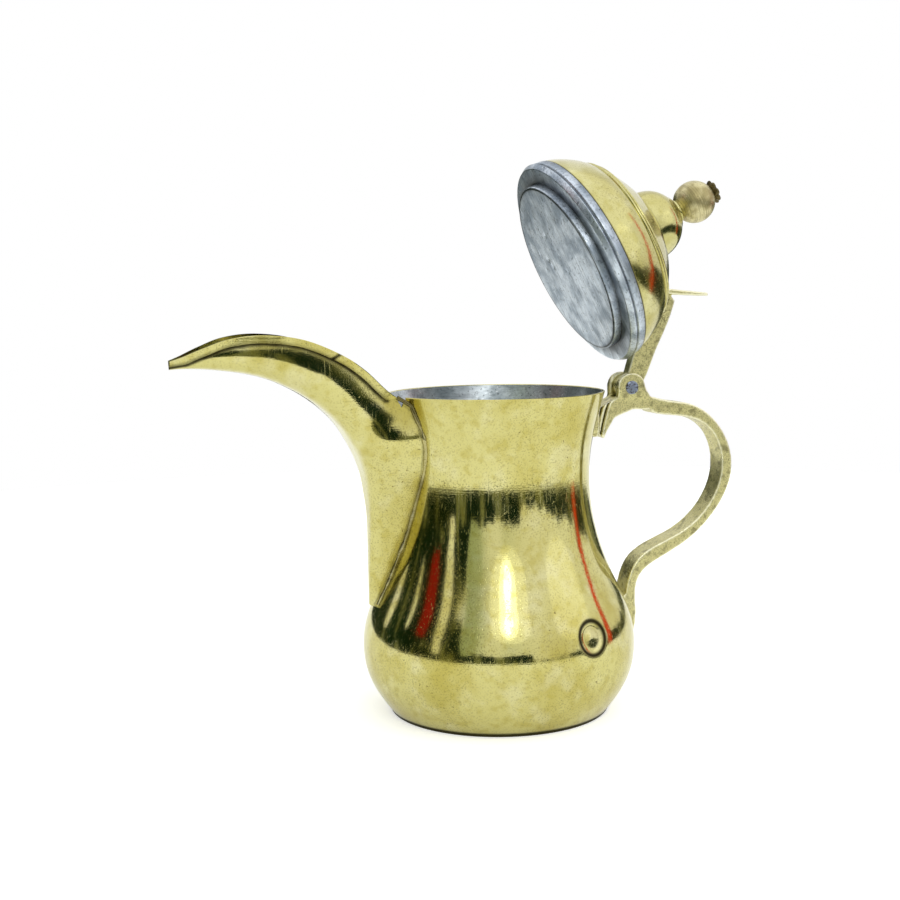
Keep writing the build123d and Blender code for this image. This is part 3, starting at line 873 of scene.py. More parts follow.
@dataclass
class Spout:
    """The folded channel, the edging along its two upper edges and the solder that holds it to the neck."""

    shell: PotShell
    brass: bpy.types.Material
    solder: bpy.types.Material
    keel_reach: float = 61.4
    reach: float = 147.49
    rise: float = 28.8
    half_width: float = 20.0
    wall: float = 1.1
    fullness: float = 3.8
    lean: tuple[float, float] = (0.02, 0.06)
    lean_reach: tuple[float, float] = (100.0, 125.0)
    throat_inset: float = 2.4
    throat_depth: float = 9.0
    edging_height: float = 3.4
    edging: float = 1.0
    edging_share: float = 0.62
    edging_round: float = 0.3
    flare: float = 0.12
    nick_reach: tuple[float, float, float] = (3.6, 1.0, 4.6)
    nick_depth: float = 4.2
    nick_half_width: float = 30.0
    seam: float = 1.0
    seam_lump: float = 4.0
    seam_swell: float = 0.5
    sections: int = 140
    around: int = 72
    # First station, last station and number of sections of the opening in the neck and of the soldered seam.
    throat_run: tuple[float, float, int] = (3, 9, 40)
    seam_run: tuple[float, float, int] = (0.1, 7.75, 110)
    # How many stations before the mouth the edging starts, and after the mouth its two lengths meet, with a gap.
    edging_lead: float = 0.25
    butt: int = 2
    butt_gap: float = 0.01
    # Amount, distance and width of each dark line: old polish beside the seam, painted shade on the sheet under the
    # edging and on the edging's lower edge, and old polish in the butt.
    seam_dirt: tuple[float, float, float] = (0.5, 1.5, 0.6)
    sheet_shade: tuple[float, float, float] = (0.9, 0.6, 0.9)
    edging_shade: tuple[float, float, float] = (0.6, 0.6, 0.7)
    butt_dirt: tuple[float, float] = (0.9, 0.45)

    # Stations below the mouth: the open side's x from the keel's reach and its level as a share of the body's
    # height, the half width's share, and the keel's x and level in the same way.
    FOOT = ((4.4, 0.345, 0.115, -0.2, 0.355), (7.9, 0.419, 0.19, -0.1, 0.426), (12.4, 0.500, 0.285, 0.0, 0.504),
            (18.9, 0.622, 0.50, 0.2, 0.620), (21.9, 0.703, 0.71, -0.7, 0.696), (24.4, 0.791, 0.975, -2.6, 0.774),
            (24.4, 0.878, 1.12, -7.1, 0.848), (19.4, 0.959, 1.07, -13.6, 0.918))
    # Stations above the mouth, by shares of the spout's run and rise.
    BEAK = ((0.043, 0.087, 1.02, 0.331, -0.156), (0.154, 0.444, 1.00, 0.414, 0.052),
            (0.265, 0.695, 0.985, 0.496, 0.208), (0.429, 0.925, 0.935, 0.583, 0.333),
            (0.604, 1.000, 0.84, 0.676, 0.417), (0.748, 0.952, 0.70, 0.779, 0.472),
            (0.861, 0.820, 0.535, 0.871, 0.503), (0.949, 0.694, 0.34, 0.949, 0.510),
            (1.000, 0.632, 0.17, 1.000, 0.500))

    def stations(self) -> np.ndarray:
        """Give edge x and z, half width, keel x and z of every station.

        Returns:
            A row for each station, in millimetres.
        """
        height, mouth = self.shell.height, self.shell.mouth
        run = self.reach - mouth
        rows = [(a - self.keel_reach, b * height, c * self.half_width, d - self.keel_reach, e * height)
                for a, b, c, d, e in self.FOOT]
        rows += [(-mouth - a * run, height + b * self.rise, c * self.half_width, -mouth - d * run,
                  height + e * self.rise) for a, b, c, d, e in self.BEAK]
        return np.array(rows)

    def run_through(self, first: float, last: float, count: int) -> list[np.ndarray]:
        """Give smoothly spaced sections between two stations, numbered in parts of a station.

        Args:
            first: Station where the run starts.
            last: Station where it ends.
            count: Number of sections.

        Returns:
            A row for each section, like a station's.
        """
        rows = self.stations()
        out = []
        for value in np.linspace(first, last, count):
            i = int(min(max(math.floor(value), 0), len(rows) - 2))
            t = value - i
            before, after = rows[max(i - 1, 0)], rows[min(i + 2, len(rows) - 1)]
            here, there = rows[i], rows[i + 1]
            leave = (there - before) / (2 if i > 0 else 1)
            reach = (after - here) / (2 if i < len(rows) - 2 else 1)
            out.append(between(t, here, leave, there, reach))
        return out

    @staticmethod
    def section_frame(row: np.ndarray) -> tuple[Matrix, float]:
        """Give a section's frame, its X across and its Y down to the keel, and its depth.

        Args:
            row: The section's row.

        Returns:
            Its frame in metres and its depth in millimetres.
        """
        edge = Vector((row[0], 0, row[1]))
        down = Vector((row[3], 0, row[4])) - edge
        depth = down.length
        down.normalize()
        across = Vector((0, 1, 0))
        turn = Matrix((across, down, across.cross(down))).transposed().to_4x4()
        return Matrix.Translation(edge * MM) @ turn, depth

    def side(self, row: np.ndarray, depth: float, inset: float, share: float) -> float:
        """Give a section's half width at a share of its depth: full at the keel, leaning in at the top.

        Args:
            row: The section's row.
            depth: Its depth.
            inset: How far inside the channel's own surface.
            share: Share of the depth, 0 at the open side and 1 at the keel.

        Returns:
            The half width.
        """
        full = (row[2] - inset) * max(1 - share**self.fullness, 0) ** (1 / self.fullness)
        lean = float(np.interp(-row[0], self.lean_reach, self.lean))
        return full - min(lean * depth, 0.25 * row[2]) * (1 - share) ** 2

    def half_line(self, row: np.ndarray, depth: float, inset: float) -> list[Point]:
        """Draw half a section from its upper edge to the keel, in even steps.

        Args:
            row: The section's row.
            depth: Its depth.
            inset: How far inside the channel's own surface.

        Returns:
            Half width and depth of each place.
        """
        shares = np.sin(np.linspace(0, math.pi / 2, 400)) ** (2 / self.fullness)
        spots = np.array([(self.side(row, depth, inset, share), (depth - inset) * share) for share in shares])
        spots[-1, 0] = 0.0
        runs = np.concatenate([[0], np.cumsum(np.hypot(*np.diff(spots, axis=0).T))])
        even = np.linspace(0, runs[-1], self.around // 2 + 1)
        return [(float(np.interp(run, runs, spots[:, 0])), float(np.interp(run, runs, spots[:, 1]))) for run in even]

    def solid(self, rows: list[np.ndarray], inset: float, lift: float, name: str) -> bpy.types.Object:
        """Loft closed sections that stand out of the open side by lift.

        Args:
            rows: The sections.
            inset: How far the solid lies inside the channel's own surface.
            lift: How far it stands out of the open side.
            name: Name of the object.

        Returns:
            The closed solid.
        """
        rings = []
        for row in rows:
            place, depth = self.section_frame(row)
            half = self.half_line(row, depth, inset)
            flat = half + [(-x, y) for x, y in half[-2::-1]]
            if lift:
                flat += [(flat[-1][0], -lift), (flat[0][0], -lift)]
            rings.append([place @ Vector((x * MM, y * MM, 0)) for x, y in flat])
        return to_object(loft(rings), name)

    def throat(self) -> bpy.types.Object:
        """Make the tool that opens the neck behind the spout."""
        rows = self.run_through(*self.throat_run)
        return self.solid(rows, self.throat_inset, self.throat_depth, "throat_tool")

    def nick(self) -> bpy.types.Object:
        """Make the wedge that notches both edges where they meet the mouth.

        Returns:
            The wedge, lying across the spout.
        """
        mouth, level = self.shell.mouth, self.shell.height
        front, foot, back = self.nick_reach
        corners = [(-mouth - front, level + self.nick_depth), (-mouth + foot, level - self.nick_depth),
                   (-mouth + back, level + self.nick_depth)]
        sides = (-self.nick_half_width, self.nick_half_width)
        return to_object(loft([[Vector((x, y, z)) * MM for x, z in corners] for y in sides]), "nick_tool")

    def edging_ends(self) -> tuple[float, float]:
        """Give the station where the edging starts and the last one of all."""
        return len(self.FOOT) - self.edging_lead, len(self.FOOT) + len(self.BEAK) - 1

    def edging_rows(self, first: float, last: float,
                    count: int) -> Iterable[tuple[np.ndarray, Matrix, float, float]]:
        """Give sections between two stations, with their frame, their depth and how far down the edging reaches.

        Args:
            first: Station where the run starts.
            last: Station where it ends.
            count: Number of sections.

        Returns:
            Row, frame, depth and the edging's reach of each section.
        """
        rows = self.run_through(first, last, count)
        edge = np.gradient(np.array([(row[0], row[1]) for row in rows]), axis=0)
        for row, along in zip(rows, edge):
            place, depth = self.section_frame(row)
            # The strip is equally wide everywhere, at whatever slant a section crosses it.
            down = np.array((row[3] - row[0], row[4] - row[1])) / depth
            slant = abs(along[0] * down[1] - along[1] * down[0]) / np.hypot(*along)
            yield row, place, depth, min(self.edging_height / slant, self.edging_share * depth)

    def edging_foot(self) -> list[Vector]:
        """Follow the lower line of the near edging, in millimetres."""
        return [place @ Vector((-self.side(row, depth, 0, tall / depth) * MM, tall * MM, 0)) / MM
                for row, place, depth, tall in self.edging_rows(*self.edging_ends(), 90)]

    def strip(self, first: float, last: float, count: int) -> bmesh.types.BMesh:
        """Fold a strip of edging over the far upper edge and mirror it to the near one.

        Args:
            first: Station where it starts.
            last: Station where it ends.
            count: Number of sections.

        Returns:
            Both strips.
        """
        rings = []
        for row, place, depth, tall in self.edging_rows(first, last, count):
            inner = [(self.side(row, depth, 0.05, share), share * depth) for share in np.linspace(0, tall / depth, 5)]
            face = inner[-1][0] + self.edging
            inner[0] = (inner[0][0], 0.0)
            flare, bend = self.flare * tall, self.edging_round
            flat = inner + [(face - bend, tall), (face, tall - bend), (face + flare / 2, tall * 0.5)]
            flat += [(face + flare, bend), (face + flare - bend, 0.0)]
            rings.append([place @ Vector((x * MM, y * MM, 0)) for x, y in flat])
        bm = loft(rings)
        bmesh.ops.mirror(bm, geom=bm.verts[:] + bm.edges[:] + bm.faces[:], axis="Y", merge_dist=0)
        bmesh.ops.recalc_face_normals(bm, faces=bm.faces)
        return bm

    def seam_path(self) -> list[Vector]:
        """Find where the channel's near side meets the neck, from the foot up to the mouth.

        Returns:
            Its places, in metres.
        """
        line = self.shell.outline(0)
        radii, levels = [p[0] for p in line], [p[1] for p in line]
        path = []
        for row in self.run_through(*self.seam_run):
            place, depth = self.section_frame(row)
            inside, outside = 0.0, 1.0
            for _ in range(24):
                share = (inside + outside) / 2
                spot = place @ Vector((-self.side(row, depth, 0, share) * MM, depth * share * MM, 0)) / MM
                beyond = math.hypot(spot.x, spot.y) > np.interp(spot.z, levels, radii)
                inside, outside = (inside, share) if beyond else (share, outside)
            path.append(spot * MM)
        return path

    def solder_seam(self) -> None:
        """Lay a lumpy bead of solder along both seams."""
        data = bpy.data.curves.new("solder_seam", "CURVE")
        data.dimensions = "3D"
        data.bevel_depth = self.seam * MM
        data.bevel_resolution = 3
        data.use_fill_caps = True
        path = self.seam_path()
        for mirror in (1, -1):
            line = data.splines.new("POLY")
            line.points.add(len(path) - 1)
            for point, spot in zip(line.points, path):
                point.co = (spot.x, spot.y * mirror, spot.z, 1)
                lump = noise.noise(spot / (self.seam_lump * MM) + Vector((0, 0, mirror)))
                point.radius = 1 + self.seam_swell * lump
        curve = bpy.data.objects.new("seam_curve", data)
        bpy.context.scene.collection.objects.link(curve)
        graph = bpy.context.evaluated_depsgraph_get()
        graph.update()
        mesh = bpy.data.meshes.new_from_object(curve.evaluated_get(graph))
        drop(curve)
        mesh.shade_smooth()
        bead = bpy.data.objects.new("solder_seam", mesh)
        bpy.context.scene.collection.objects.link(bead)
        hand_over(bead, Body.POT, Slot.POLISHED, self.solder)

    @staticmethod
    def near(spot: Vector, line: list[Vector], dirt_and_shade: tuple[float, float, float]) -> float:
        """Give the darkening at a place for a line on the near side, or its mirror: amount, distance and width."""
        folded = Vector((spot.x, -abs(spot.y), spot.z))
        return dirt_and_shade[0] * beside(min((folded - s).length for s in line), *dirt_and_shade[1:])

    def build(self) -> None:
        """Build the channel, its edging and the solder along its seam."""
        first, last = self.edging_ends()
        rows = self.run_through(0, last, self.sections)
        body, nick = self.shell.form(), self.nick()
        outer = self.solid(rows, 0.0, 0.0, "spout_channel_sheet")
        hollow = self.solid(rows, self.wall, 2.0, "hollow_tool")
        for tool in (hollow, body, nick):
            cut(outer, tool)
        seam = [spot / MM for spot in self.seam_path()[::2]]
        foot = self.edging_foot()
        # Old polish beside the seam, and painted shade under the edging.
        soil_and_shade(outer, lambda spot: self.near(spot, seam, self.seam_dirt) + self.near(spot, foot, self.sheet_shade))
        hand_over(outer, Body.POT, Slot.POLISHED, self.brass, ["spout_channel"])
        butt = len(self.FOOT) + self.butt
        rear = to_object(self.strip(first, butt - self.butt_gap, 24), "edging_rear")
        front = to_object(self.strip(butt + self.butt_gap, last, 70), "edging_front")
        for tool in (body, nick):
            cut(rear, tool)
        joint = self.section_frame(self.run_through(butt, butt + 1, 2)[0])[0].inverted()
        amount, width = self.butt_dirt
        # Painted shade along the edging's lower edge, and old polish in the butt.
        for piece in (rear, front):
            soil_and_shade(piece, lambda spot: self.near(spot, foot, self.edging_shade)
                 + amount * beside((joint @ (spot * MM)).z / MM, 0.0, width))
        hand_over(rear, Body.POT, Slot.POLISHED, self.brass, ["spout_edging_rear_near", "spout_edging_rear_far"])
        hand_over(front, Body.POT, Slot.POLISHED, self.brass, ["spout_edging_front_near", "spout_edging_front_far"])
        for tool in (hollow, body, nick):
            drop(tool)
        self.solder_seam()


# ---------------------------------------------------------------- castings


@dataclass
class Casting:
    """A rough casting, taken over from the frame with the skin that sand gives it."""

    node: str
    name: str
    body: Body
    material: bpy.types.Material
    voxel: float = 0.5
    depth: float = 0.25
    lump: float = 5.0
    softening: int = 10

    def sand(self, co: Vector, normal: Vector) -> Vector:
        """Give how deep the sand has bitten at a point: coarse lumps and finer grains, never proud.

        Args:
            co: The point's place in metres.
            normal: Its normal.

        Returns:
            The move in metres.
        """
        coarse = 0.5 + 0.5 * noise.noise(co / (self.lump * MM))
        fine = 0.5 + 0.5 * noise.noise(co / (1.2 * MM))
        return self.shape(co, normal) - normal * self.depth * MM * (0.5 * coarse + 0.5 * fine)

    def shape(self, co: Vector, normal: Vector) -> Vector:
        """Give what filing and chasing took off at a point, none on a plain casting."""
        return Vector()

    def fill(self, bm: bmesh.types.BMesh) -> None:
        """Add what the mould left in the casting's corners, nothing on a plain casting."""

    def build(self) -> None:
        """Merge the node's copy, round its edges and roughen its skin."""
        bm = bmesh.new()
        bm.from_mesh(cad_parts[self.node].data)
        bmesh.ops.remove_doubles(bm, verts=bm.verts, dist=1e-6)
        self.fill(bm)
        obj = to_object(bm, self.name, crease=60)
        remesh = obj.modifiers.new("even", "REMESH")
        remesh.mode = "VOXEL"
        remesh.voxel_size = self.voxel * MM
        soften = obj.modifiers.new("worn_edges", "SMOOTH")
        soften.factor = 0.5
        soften.iterations = self.softening
        bake_modifiers(obj)
        obj.data.shade_smooth()
        move_verts(obj, self.sand)
        hand_over(obj, self.body, Slot.CAST, self.material, [self.node])


@dataclass
class HandleCasting(Casting):
    """The handle: its ears blend into the grip, and two grooves follow the neck down its leaf-shaped root."""

    shell: PotShell | None = None
    grip: float = 6.7
    ear_foot: float = 140.0
    ear_level: float = 147.0
    # The distance of each groove from the neck and its depth, and their width, levels and outward bend.
    grooves: tuple[tuple[float, float], ...] = ((2.6, 1.3), (5.2, 0.9))
    groove_width: float = 0.55
    groove_levels: Point = (118.0, 150.0)
    groove_bend: Point = (138.0, 0.10)
    root_end: float = 72.0
    web: tuple[Point, ...] = ((65.0, 137.6), (75.5, 137.0), (76.5, 141.0), (66.0, 141.0))

    def fill(self, bm: bmesh.types.BMesh) -> None:
        """Fill the corner under the ears, where the grip leaves the root.

        Args:
            bm: The casting's mesh, before its skin is made even.
        """
        block = loft([[Vector((x, y, z)) * MM for x, z in self.web] for y in (-self.grip + 0.1, self.grip - 0.1)])
        mesh = bpy.data.meshes.new("web")
        block.to_mesh(mesh)
        block.free()
        bm.from_mesh(mesh)
        bpy.data.meshes.remove(mesh)

    def shape(self, co: Vector, normal: Vector) -> Vector:
        """Draw the ears' foot in to the grip's width and sink the grooves into both sides of the root.

        Args:
            co: The point's place in metres.
            normal: Its normal.

        Returns:
            The move in metres.
        """
        spot = co / MM
        shift = Vector()
        side = math.copysign(1.0, spot.y)
        if abs(spot.y) > self.grip and spot.z < self.ear_level:
            share = max(0.0, min(1.0, (spot.z - self.ear_foot) / (self.ear_level - self.ear_foot)))
            shift.y -= side * (abs(spot.y) - self.grip) * (1 - share * share * (3 - 2 * share))
        low, high = self.groove_levels
        if spot.x < self.root_end and low < spot.z < high and abs(normal.y) > 0.5:
            stand = spot.x - math.sqrt(max(self.shell.radius_at(spot.z) ** 2 - spot.y**2, 0))
            for where, sunk in self.grooves:
                bent = where + self.groove_bend[1] * max(0.0, spot.z - self.groove_bend[0])
                shift.y -= side * sunk * beside(stand, bent, self.groove_width)
        return shift * MM


@dataclass
class HingePin:
    """The steel pin, its ends spread with a ring of punch marks."""

    steel: bpy.types.Material
    radius: float = 2.5
    head_radius: float = 3.1
    half_length: float = 7.5
    head: float = 0.6
    marks: int = 11
    mark_circle: float = 2.0
    mark_radius: float = 0.45
    mark_depth: float = 0.35

    def punch(self, co: Vector, normal: Vector) -> Vector:
        """Give how far a punch mark has sunk a point of a head.

        Args:
            co: The point's place in metres.
            normal: Its normal.

        Returns:
            The move in metres.
        """
        spot = HINGE.pin_frame().inverted() @ co / MM
        if abs(spot.z) < self.half_length:
            return Vector()
        turn = math.atan2(spot.y, spot.x) * self.marks / (2 * math.pi)
        turn = (round(turn) * 2 * math.pi) / self.marks
        far = math.hypot(spot.x - self.mark_circle * math.cos(turn), spot.y - self.mark_circle * math.sin(turn))
        sunk = max(0.0, 1 - (far / self.mark_radius) ** 2) * self.mark_depth
        return Vector((0, sunk * MM * (1 if spot.z > 0 else -1), 0))

    def build(self) -> None:
        """Build the pin with a domed head at both ends."""
        top = self.half_length + self.head
        dome = [(r, top - 0.5 * (r / self.head_radius) ** 3) for r in np.linspace(0, self.head_radius, 20)]
        half = [*dome, (self.head_radius, self.half_length), (self.radius, self.half_length)]
        outline = half + [(r, -h) for r, h in half[::-1]]
        pin = to_object(spin_outline(outline, HINGE.pin_frame(), 96, closed=False), "peened_pin", crease=50)
        move_verts(pin, self.punch)
        hand_over(pin, Body.POT, Slot.PIN, self.steel, ["hinge_pin"])


# ---------------------------------------------------------------- lid


@dataclass
class Liner:
    """The tinned wall that sits on the mouth and the shallow pan that drops into it."""

    tin: bpy.types.Material
    plug: float = 41.2
    sink: float = 3.4
    foot: float = 50.1
    top: float = 49.3
    height: float = 7.9
    ledge: float = 0.3
    # The level, the depth and the wall's radius of the groove around the wall.
    groove: tuple[float, float, float] = (3.72, 0.7, 49.74)
    # The pan's inner radii and heights, from its edge to the middle of its floor.
    PAN = ((43.6, 1.5), (43.6, 2.7), (40.0, 2.7), (40.0, -2.2), (0.0, -2.2))
    bend: float = 0.9
    seat: float = 1.5
    dents: int = 16
    dent_depth: float = 0.30
    steps: int = 256

    def knocked(self, co: Vector, normal: Vector) -> Vector:
        """Give how far small knocks have pushed a point of the pan's underside in.

        Args:
            co: The point's place in metres.
            normal: Its normal.

        Returns:
            The move in metres.
        """
        spot = LID_FRAME.inverted() @ co / MM
        if spot.z > -self.sink + 1.6 or math.hypot(spot.x, spot.y) > self.plug - 1.0:
            return Vector()
        rng = np.random.default_rng(7)
        depth = 0.22 * noise.noise(spot / 16) + 0.10 * noise.noise(spot / 5)
        for i in range(self.dents):
            far, turn = self.plug * 0.9 * math.sqrt(rng.random()), rng.random() * 2 * math.pi
            size = 0.8 + rng.random() * 1.6
            if i == 0:
                far, size = 0.0, 1.3
            near = math.hypot(spot.x - far * math.cos(turn), spot.y - far * math.sin(turn)) / size
            depth += self.dent_depth * max(0.0, 1 - near**2) ** 2
        edge = min(1.0, (self.plug - 1.0 - math.hypot(spot.x, spot.y)) / 4)
        return LID_FRAME.to_3x3() @ Vector((0, 0, max(depth, 0.0) * edge * MM))

    def grime_and_shade(self, spot: Vector) -> float:
        """Give the painted shade in the corner around the pan, along the pan's bend, in the wall's groove and under
        the dome, with blots of old polish on the ledge beside the pan.

        Args:
            spot: The place in the lid's frame, in millimetres.

        Returns:
            How dark it is, from 0 up.
        """
        far = math.hypot(spot.x, spot.y)
        corner = 0.95 * beside(far, self.plug + 0.4, 1.8) * beside(spot.z, 0.3, 1.0)
        if far <= self.plug - 0.3:
            corner = 0.0
        blots = 0.7 * max(0.0, noise.noise(spot / 5.0)) * beside(far, self.plug + 3.5, 4.0)
        line = beside(far, self.plug - self.bend, 0.5) * beside(spot.z, -self.sink, 0.6)
        groove, top = beside(spot.z, self.groove[0], 0.4), beside(spot.z, self.height, 0.5)
        return corner + blots + line + 0.7 * groove + 0.6 * top

    def build(self) -> None:
        """Build the wall and the pan."""
        # Its face leans out to the foot, with a groove above that.
        level, deep, face = self.groove
        wall = [(self.plug, self.ledge), (self.foot - 1.5, self.ledge), (self.foot, 2.7), (face, level - deep),
                (face - deep, level), (face, level + deep), (self.top, self.height),
                (self.top - 2.4, self.height), (47.7, self.seat), (self.plug, self.seat)]
        ring = to_object(spin_outline(rounded(wall, 0.35), LID_FRAME, self.steps), "liner_wall", crease=35)
        soil_and_shade(ring, lambda spot: self.grime_and_shade(in_lid(spot)))
        hand_over(ring, Body.LID, Slot.TINNED, self.tin, ["liner_ring"])
        under = [(float(r), -self.sink) for r in np.linspace(0, self.plug - self.bend, 60)]
        bend = arc((self.plug - self.bend, -self.sink + self.bend), self.bend, -80, 0, 5)
        outline = [*under, *bend, (self.plug, self.seat), *self.PAN]
        pan = to_object(spin_outline(outline, LID_FRAME, self.steps, closed=False), "plug_pan", crease=35)
        move_verts(pan, self.knocked)
        soil_and_shade(pan, lambda spot: self.grime_and_shade(in_lid(spot)))
        hand_over(pan, Body.LID, Slot.TINNED, self.tin, ["liner_plug"])


@dataclass
class Dome:
    """The stepped dome: two spun sheets, the moulding between them and the crown that closes it."""

    brass: bpy.types.Material
    foot: float = 49.1
    foot_level: float = 7.9
    belly: Point = (46.02, 16.45)
    lower_top: Point = (40.0, 25.0)
    moulding_top: Point = (36.6, 28.6)
    upper_top: Point = (17.3, 40.2)
    crown_radius: float = 16.9
    crown_shoulder: Point = (14.53, 49.9)
    crown_top: float = 58.5
    wall: float = 1.0
    moulding_wall: float = 1.2
    bead: float = 0.75
    neck: float = 13.9
    steps: int = 256
    # The crown's raised ring and the groove inside it: radius, height and width.
    rings: tuple[tuple[float, float, float], ...] = ((8.3, 0.35, 0.45), (7.2, -0.25, 0.4))

    def sheet(self, line: list[Point], tail: list[Point]) -> list[Point]:
        """Draw a sheet's section from its outer line and what its inner line ends on."""
        return line + tail + beneath(line, self.wall)[::-1]

    def moulding_line(self) -> list[Point]:
        """Draw the moulding's face with its two round beads.

        Returns:
            Radius and height of each place.
        """
        start, end = np.array(self.lower_top), np.array(self.moulding_top)
        along = (end - start) / np.linalg.norm(end - start)
        out = np.array((along[1], -along[0]))
        line = [tuple(start)]
        for share in (0.25, 0.75):
            middle = start + share * (end - start)
            for angle in np.radians(np.linspace(-90, 90, 13)):
                spot = middle + self.bead * (math.sin(angle) * along + math.cos(angle) * out)
                line.append((float(spot[0]), float(spot[1])))
        return [*line, tuple(end)]

    def turn(self, outline: list[Point], name: str, node: str, dirt_and_shade: Callable[[Vector], float] | None = None) -> None:
        """Turn one part of the dome and hand it over.

        Args:
            outline: Its section.
            name: Its name.
            node: The frame node that it replaces.
            dirt_and_shade: How much painted shade darkens a place in the lid's frame.
        """
        piece = to_object(spin_outline(outline, LID_FRAME, self.steps), name, crease=40)
        if dirt_and_shade:
            soil_and_shade(piece, lambda spot: dirt_and_shade(in_lid(spot)))
        hand_over(piece, Body.LID, Slot.POLISHED, self.brass, [node])

    def build(self) -> None:
        """Build the lower dome, the moulding, the upper dome and the crown."""
        foot = (self.foot, self.foot_level)
        lower = smooth_line([foot, self.belly, self.lower_top], (-0.18, 1), (-0.72, 0.69), 48)
        lower[0:1] = [(self.foot - 0.35, self.foot_level), (self.foot - 0.08, self.foot_level + 0.15)]
        # Painted shade along the lower dome's foot.
        self.turn(self.sheet(lower, []), "lower_dome_sheet", "lower_dome",
                  lambda spot: 0.8 * beside(spot.z, self.foot_level, 0.6))
        under = beneath([self.lower_top, self.moulding_top], self.moulding_wall)
        self.turn(self.moulding_line() + under[::-1], "beaded_moulding", "moulding")
        upper = smooth_line([self.moulding_top, self.upper_top], (-1, 0.78), (-1, 0.28), 48)
        tail = [(self.neck, self.upper_top[1]), (self.neck, self.upper_top[1] - self.wall)]
        self.turn(self.sheet(upper, tail), "upper_dome_sheet", "upper_dome")
        crown = smooth_line([(self.crown_radius, self.upper_top[1]), self.crown_shoulder, (0.0, self.crown_top)],
                            (-0.12, 1), (-1, 0), 90)
        crown = [(r, h + sum(rise * beside(r, middle, width) for middle, rise, width in self.rings))
                 for r, h in crown]
        # The foot is turned in a little.
        foot = self.upper_top[1]
        crown[0:1] = [(self.crown_radius - 0.5, foot), (self.crown_radius - 0.1, foot + 0.25)]
        crown[-1] = (0.0, self.crown_top)
        inner = [(r, h) for r, h in beneath(crown, self.wall) if r > 0.5]
        # Painted shade at the crown's foot and in the groove inside its raised ring.
        self.turn(crown + [(0.0, self.crown_top - self.wall)] + inner[::-1], "crown_cap", "crown",
                  lambda spot: 0.8 * beside(spot.z, self.upper_top[1], 0.7)
                  + 0.5 * beside(math.hypot(spot.x, spot.y), self.rings[1][0], 0.4))


@dataclass
class Knob:
    """The turned collar and ball, the petalled washer and the rod that holds them."""

    brass: bpy.types.Material
    polished: bpy.types.Material
    cast: bpy.types.Material
    steel: bpy.types.Material
    collar_foot: float = 57.5
    ball: float = 9.9
    ball_level: float = 68.5
    rosette_level: float = 77.9
    petals: int = 8
    petal_depth: float = 0.24
    lathe_groove: float = 0.10
    lathe_ripple: float = 0.04
    rod: float = 2.0
    rod_length: float = 23.4

    # Sections as radii and heights, the collar's from its foot, the washer's and the head's from the washer's.
    COLLAR = ((2.0, 0.0), (5.6, 0.0), (5.6, 1.2), (4.6, 1.75), (4.2, 2.3), (2.0, 2.3))
    WASHER = ((2.0, 0.1), (3.6, 0.0), (4.9, 0.5), (5.6, 1.2), (5.7, 1.9), (5.2, 2.2), (4.4, 1.8), (3.3, 1.5),
              (2.0, 1.4))
    HEAD = ((0.0, 3.6), (1.2, 3.5), (2.2, 3.2), (2.9, 2.75), (3.2, 2.2), (2.9, 1.7))

    def petal(self, co: Vector, normal: Vector) -> Vector:
        """Give how far a point of the washer is filed in between its petals.

        Args:
            co: The point's place in metres.
            normal: Its normal.

        Returns:
            The move in metres.
        """
        spot = LID_FRAME.inverted() @ co / MM
        far = math.hypot(spot.x, spot.y)
        if far < 3.0:
            return Vector()
        round_ = abs(math.cos(math.atan2(spot.y, spot.x) * self.petals / 2)) ** 0.6
        keep = 1 - self.petal_depth * (1 - round_) * min(1.0, (far - 3.0) / 2.0)
        lift = 0.25 * round_ * (far / 5.7) ** 2 - 0.25
        return LID_FRAME.to_3x3() @ (Vector((spot.x * (keep - 1), spot.y * (keep - 1), lift)) * MM)

    def turn(self, outline: list[Point], name: str, steps: int, closed: bool = True) -> bpy.types.Object:
        """Turn one part of the knob on the lid's axis."""
        return to_object(spin_outline(outline, LID_FRAME, steps, closed), name, crease=50)

    def build(self) -> None:
        """Build the collar, the ball, the washer and the rod."""
        level, low = self.ball_level, self.rosette_level
        collar = [(radius, self.collar_foot + rise) for radius, rise in self.COLLAR]
        piece = self.turn(rounded(collar, 0.3), "knob_neck", 128)
        hand_over(piece, Body.LID, Slot.KNOB, self.polished, ["knob_collar"])
        edge = math.degrees(math.asin(self.rod / self.ball))
        ball = arc((0.0, level), self.ball, -90 + edge, 90 - edge, 90)
        # The lathe leaves shallow grooves, one of them at the widest place.
        ball = [(r - self.lathe_groove * beside(h, level, 0.25) - self.lathe_ripple * math.cos(i * 2.1), h)
                for i, (r, h) in enumerate(ball)]
        piece = self.turn(ball, "turned_ball", 128)
        hand_over(piece, Body.LID, Slot.KNOB, self.brass, ["knob_ball"])
        washer = [(radius, low + rise) for radius, rise in self.WASHER]
        piece = self.turn(rounded(washer, 0.25), "petal_washer", 160)
        move_verts(piece, self.petal)
        hand_over(piece, Body.LID, Slot.CAST, self.cast, ["knob_rosette"])
        rod = [(self.rod, 1.6), (self.rod, -self.rod_length), (0.0, -self.rod_length)]
        rod = [(radius, low + rise) for radius, rise in (*self.HEAD, *rod)]
        piece = self.turn(rod, "rod_head", 64, closed=False)
        hand_over(piece, Body.LID, Slot.PIN, self.steel, ["knob_rod"])


# ---------------------------------------------------------------- stage


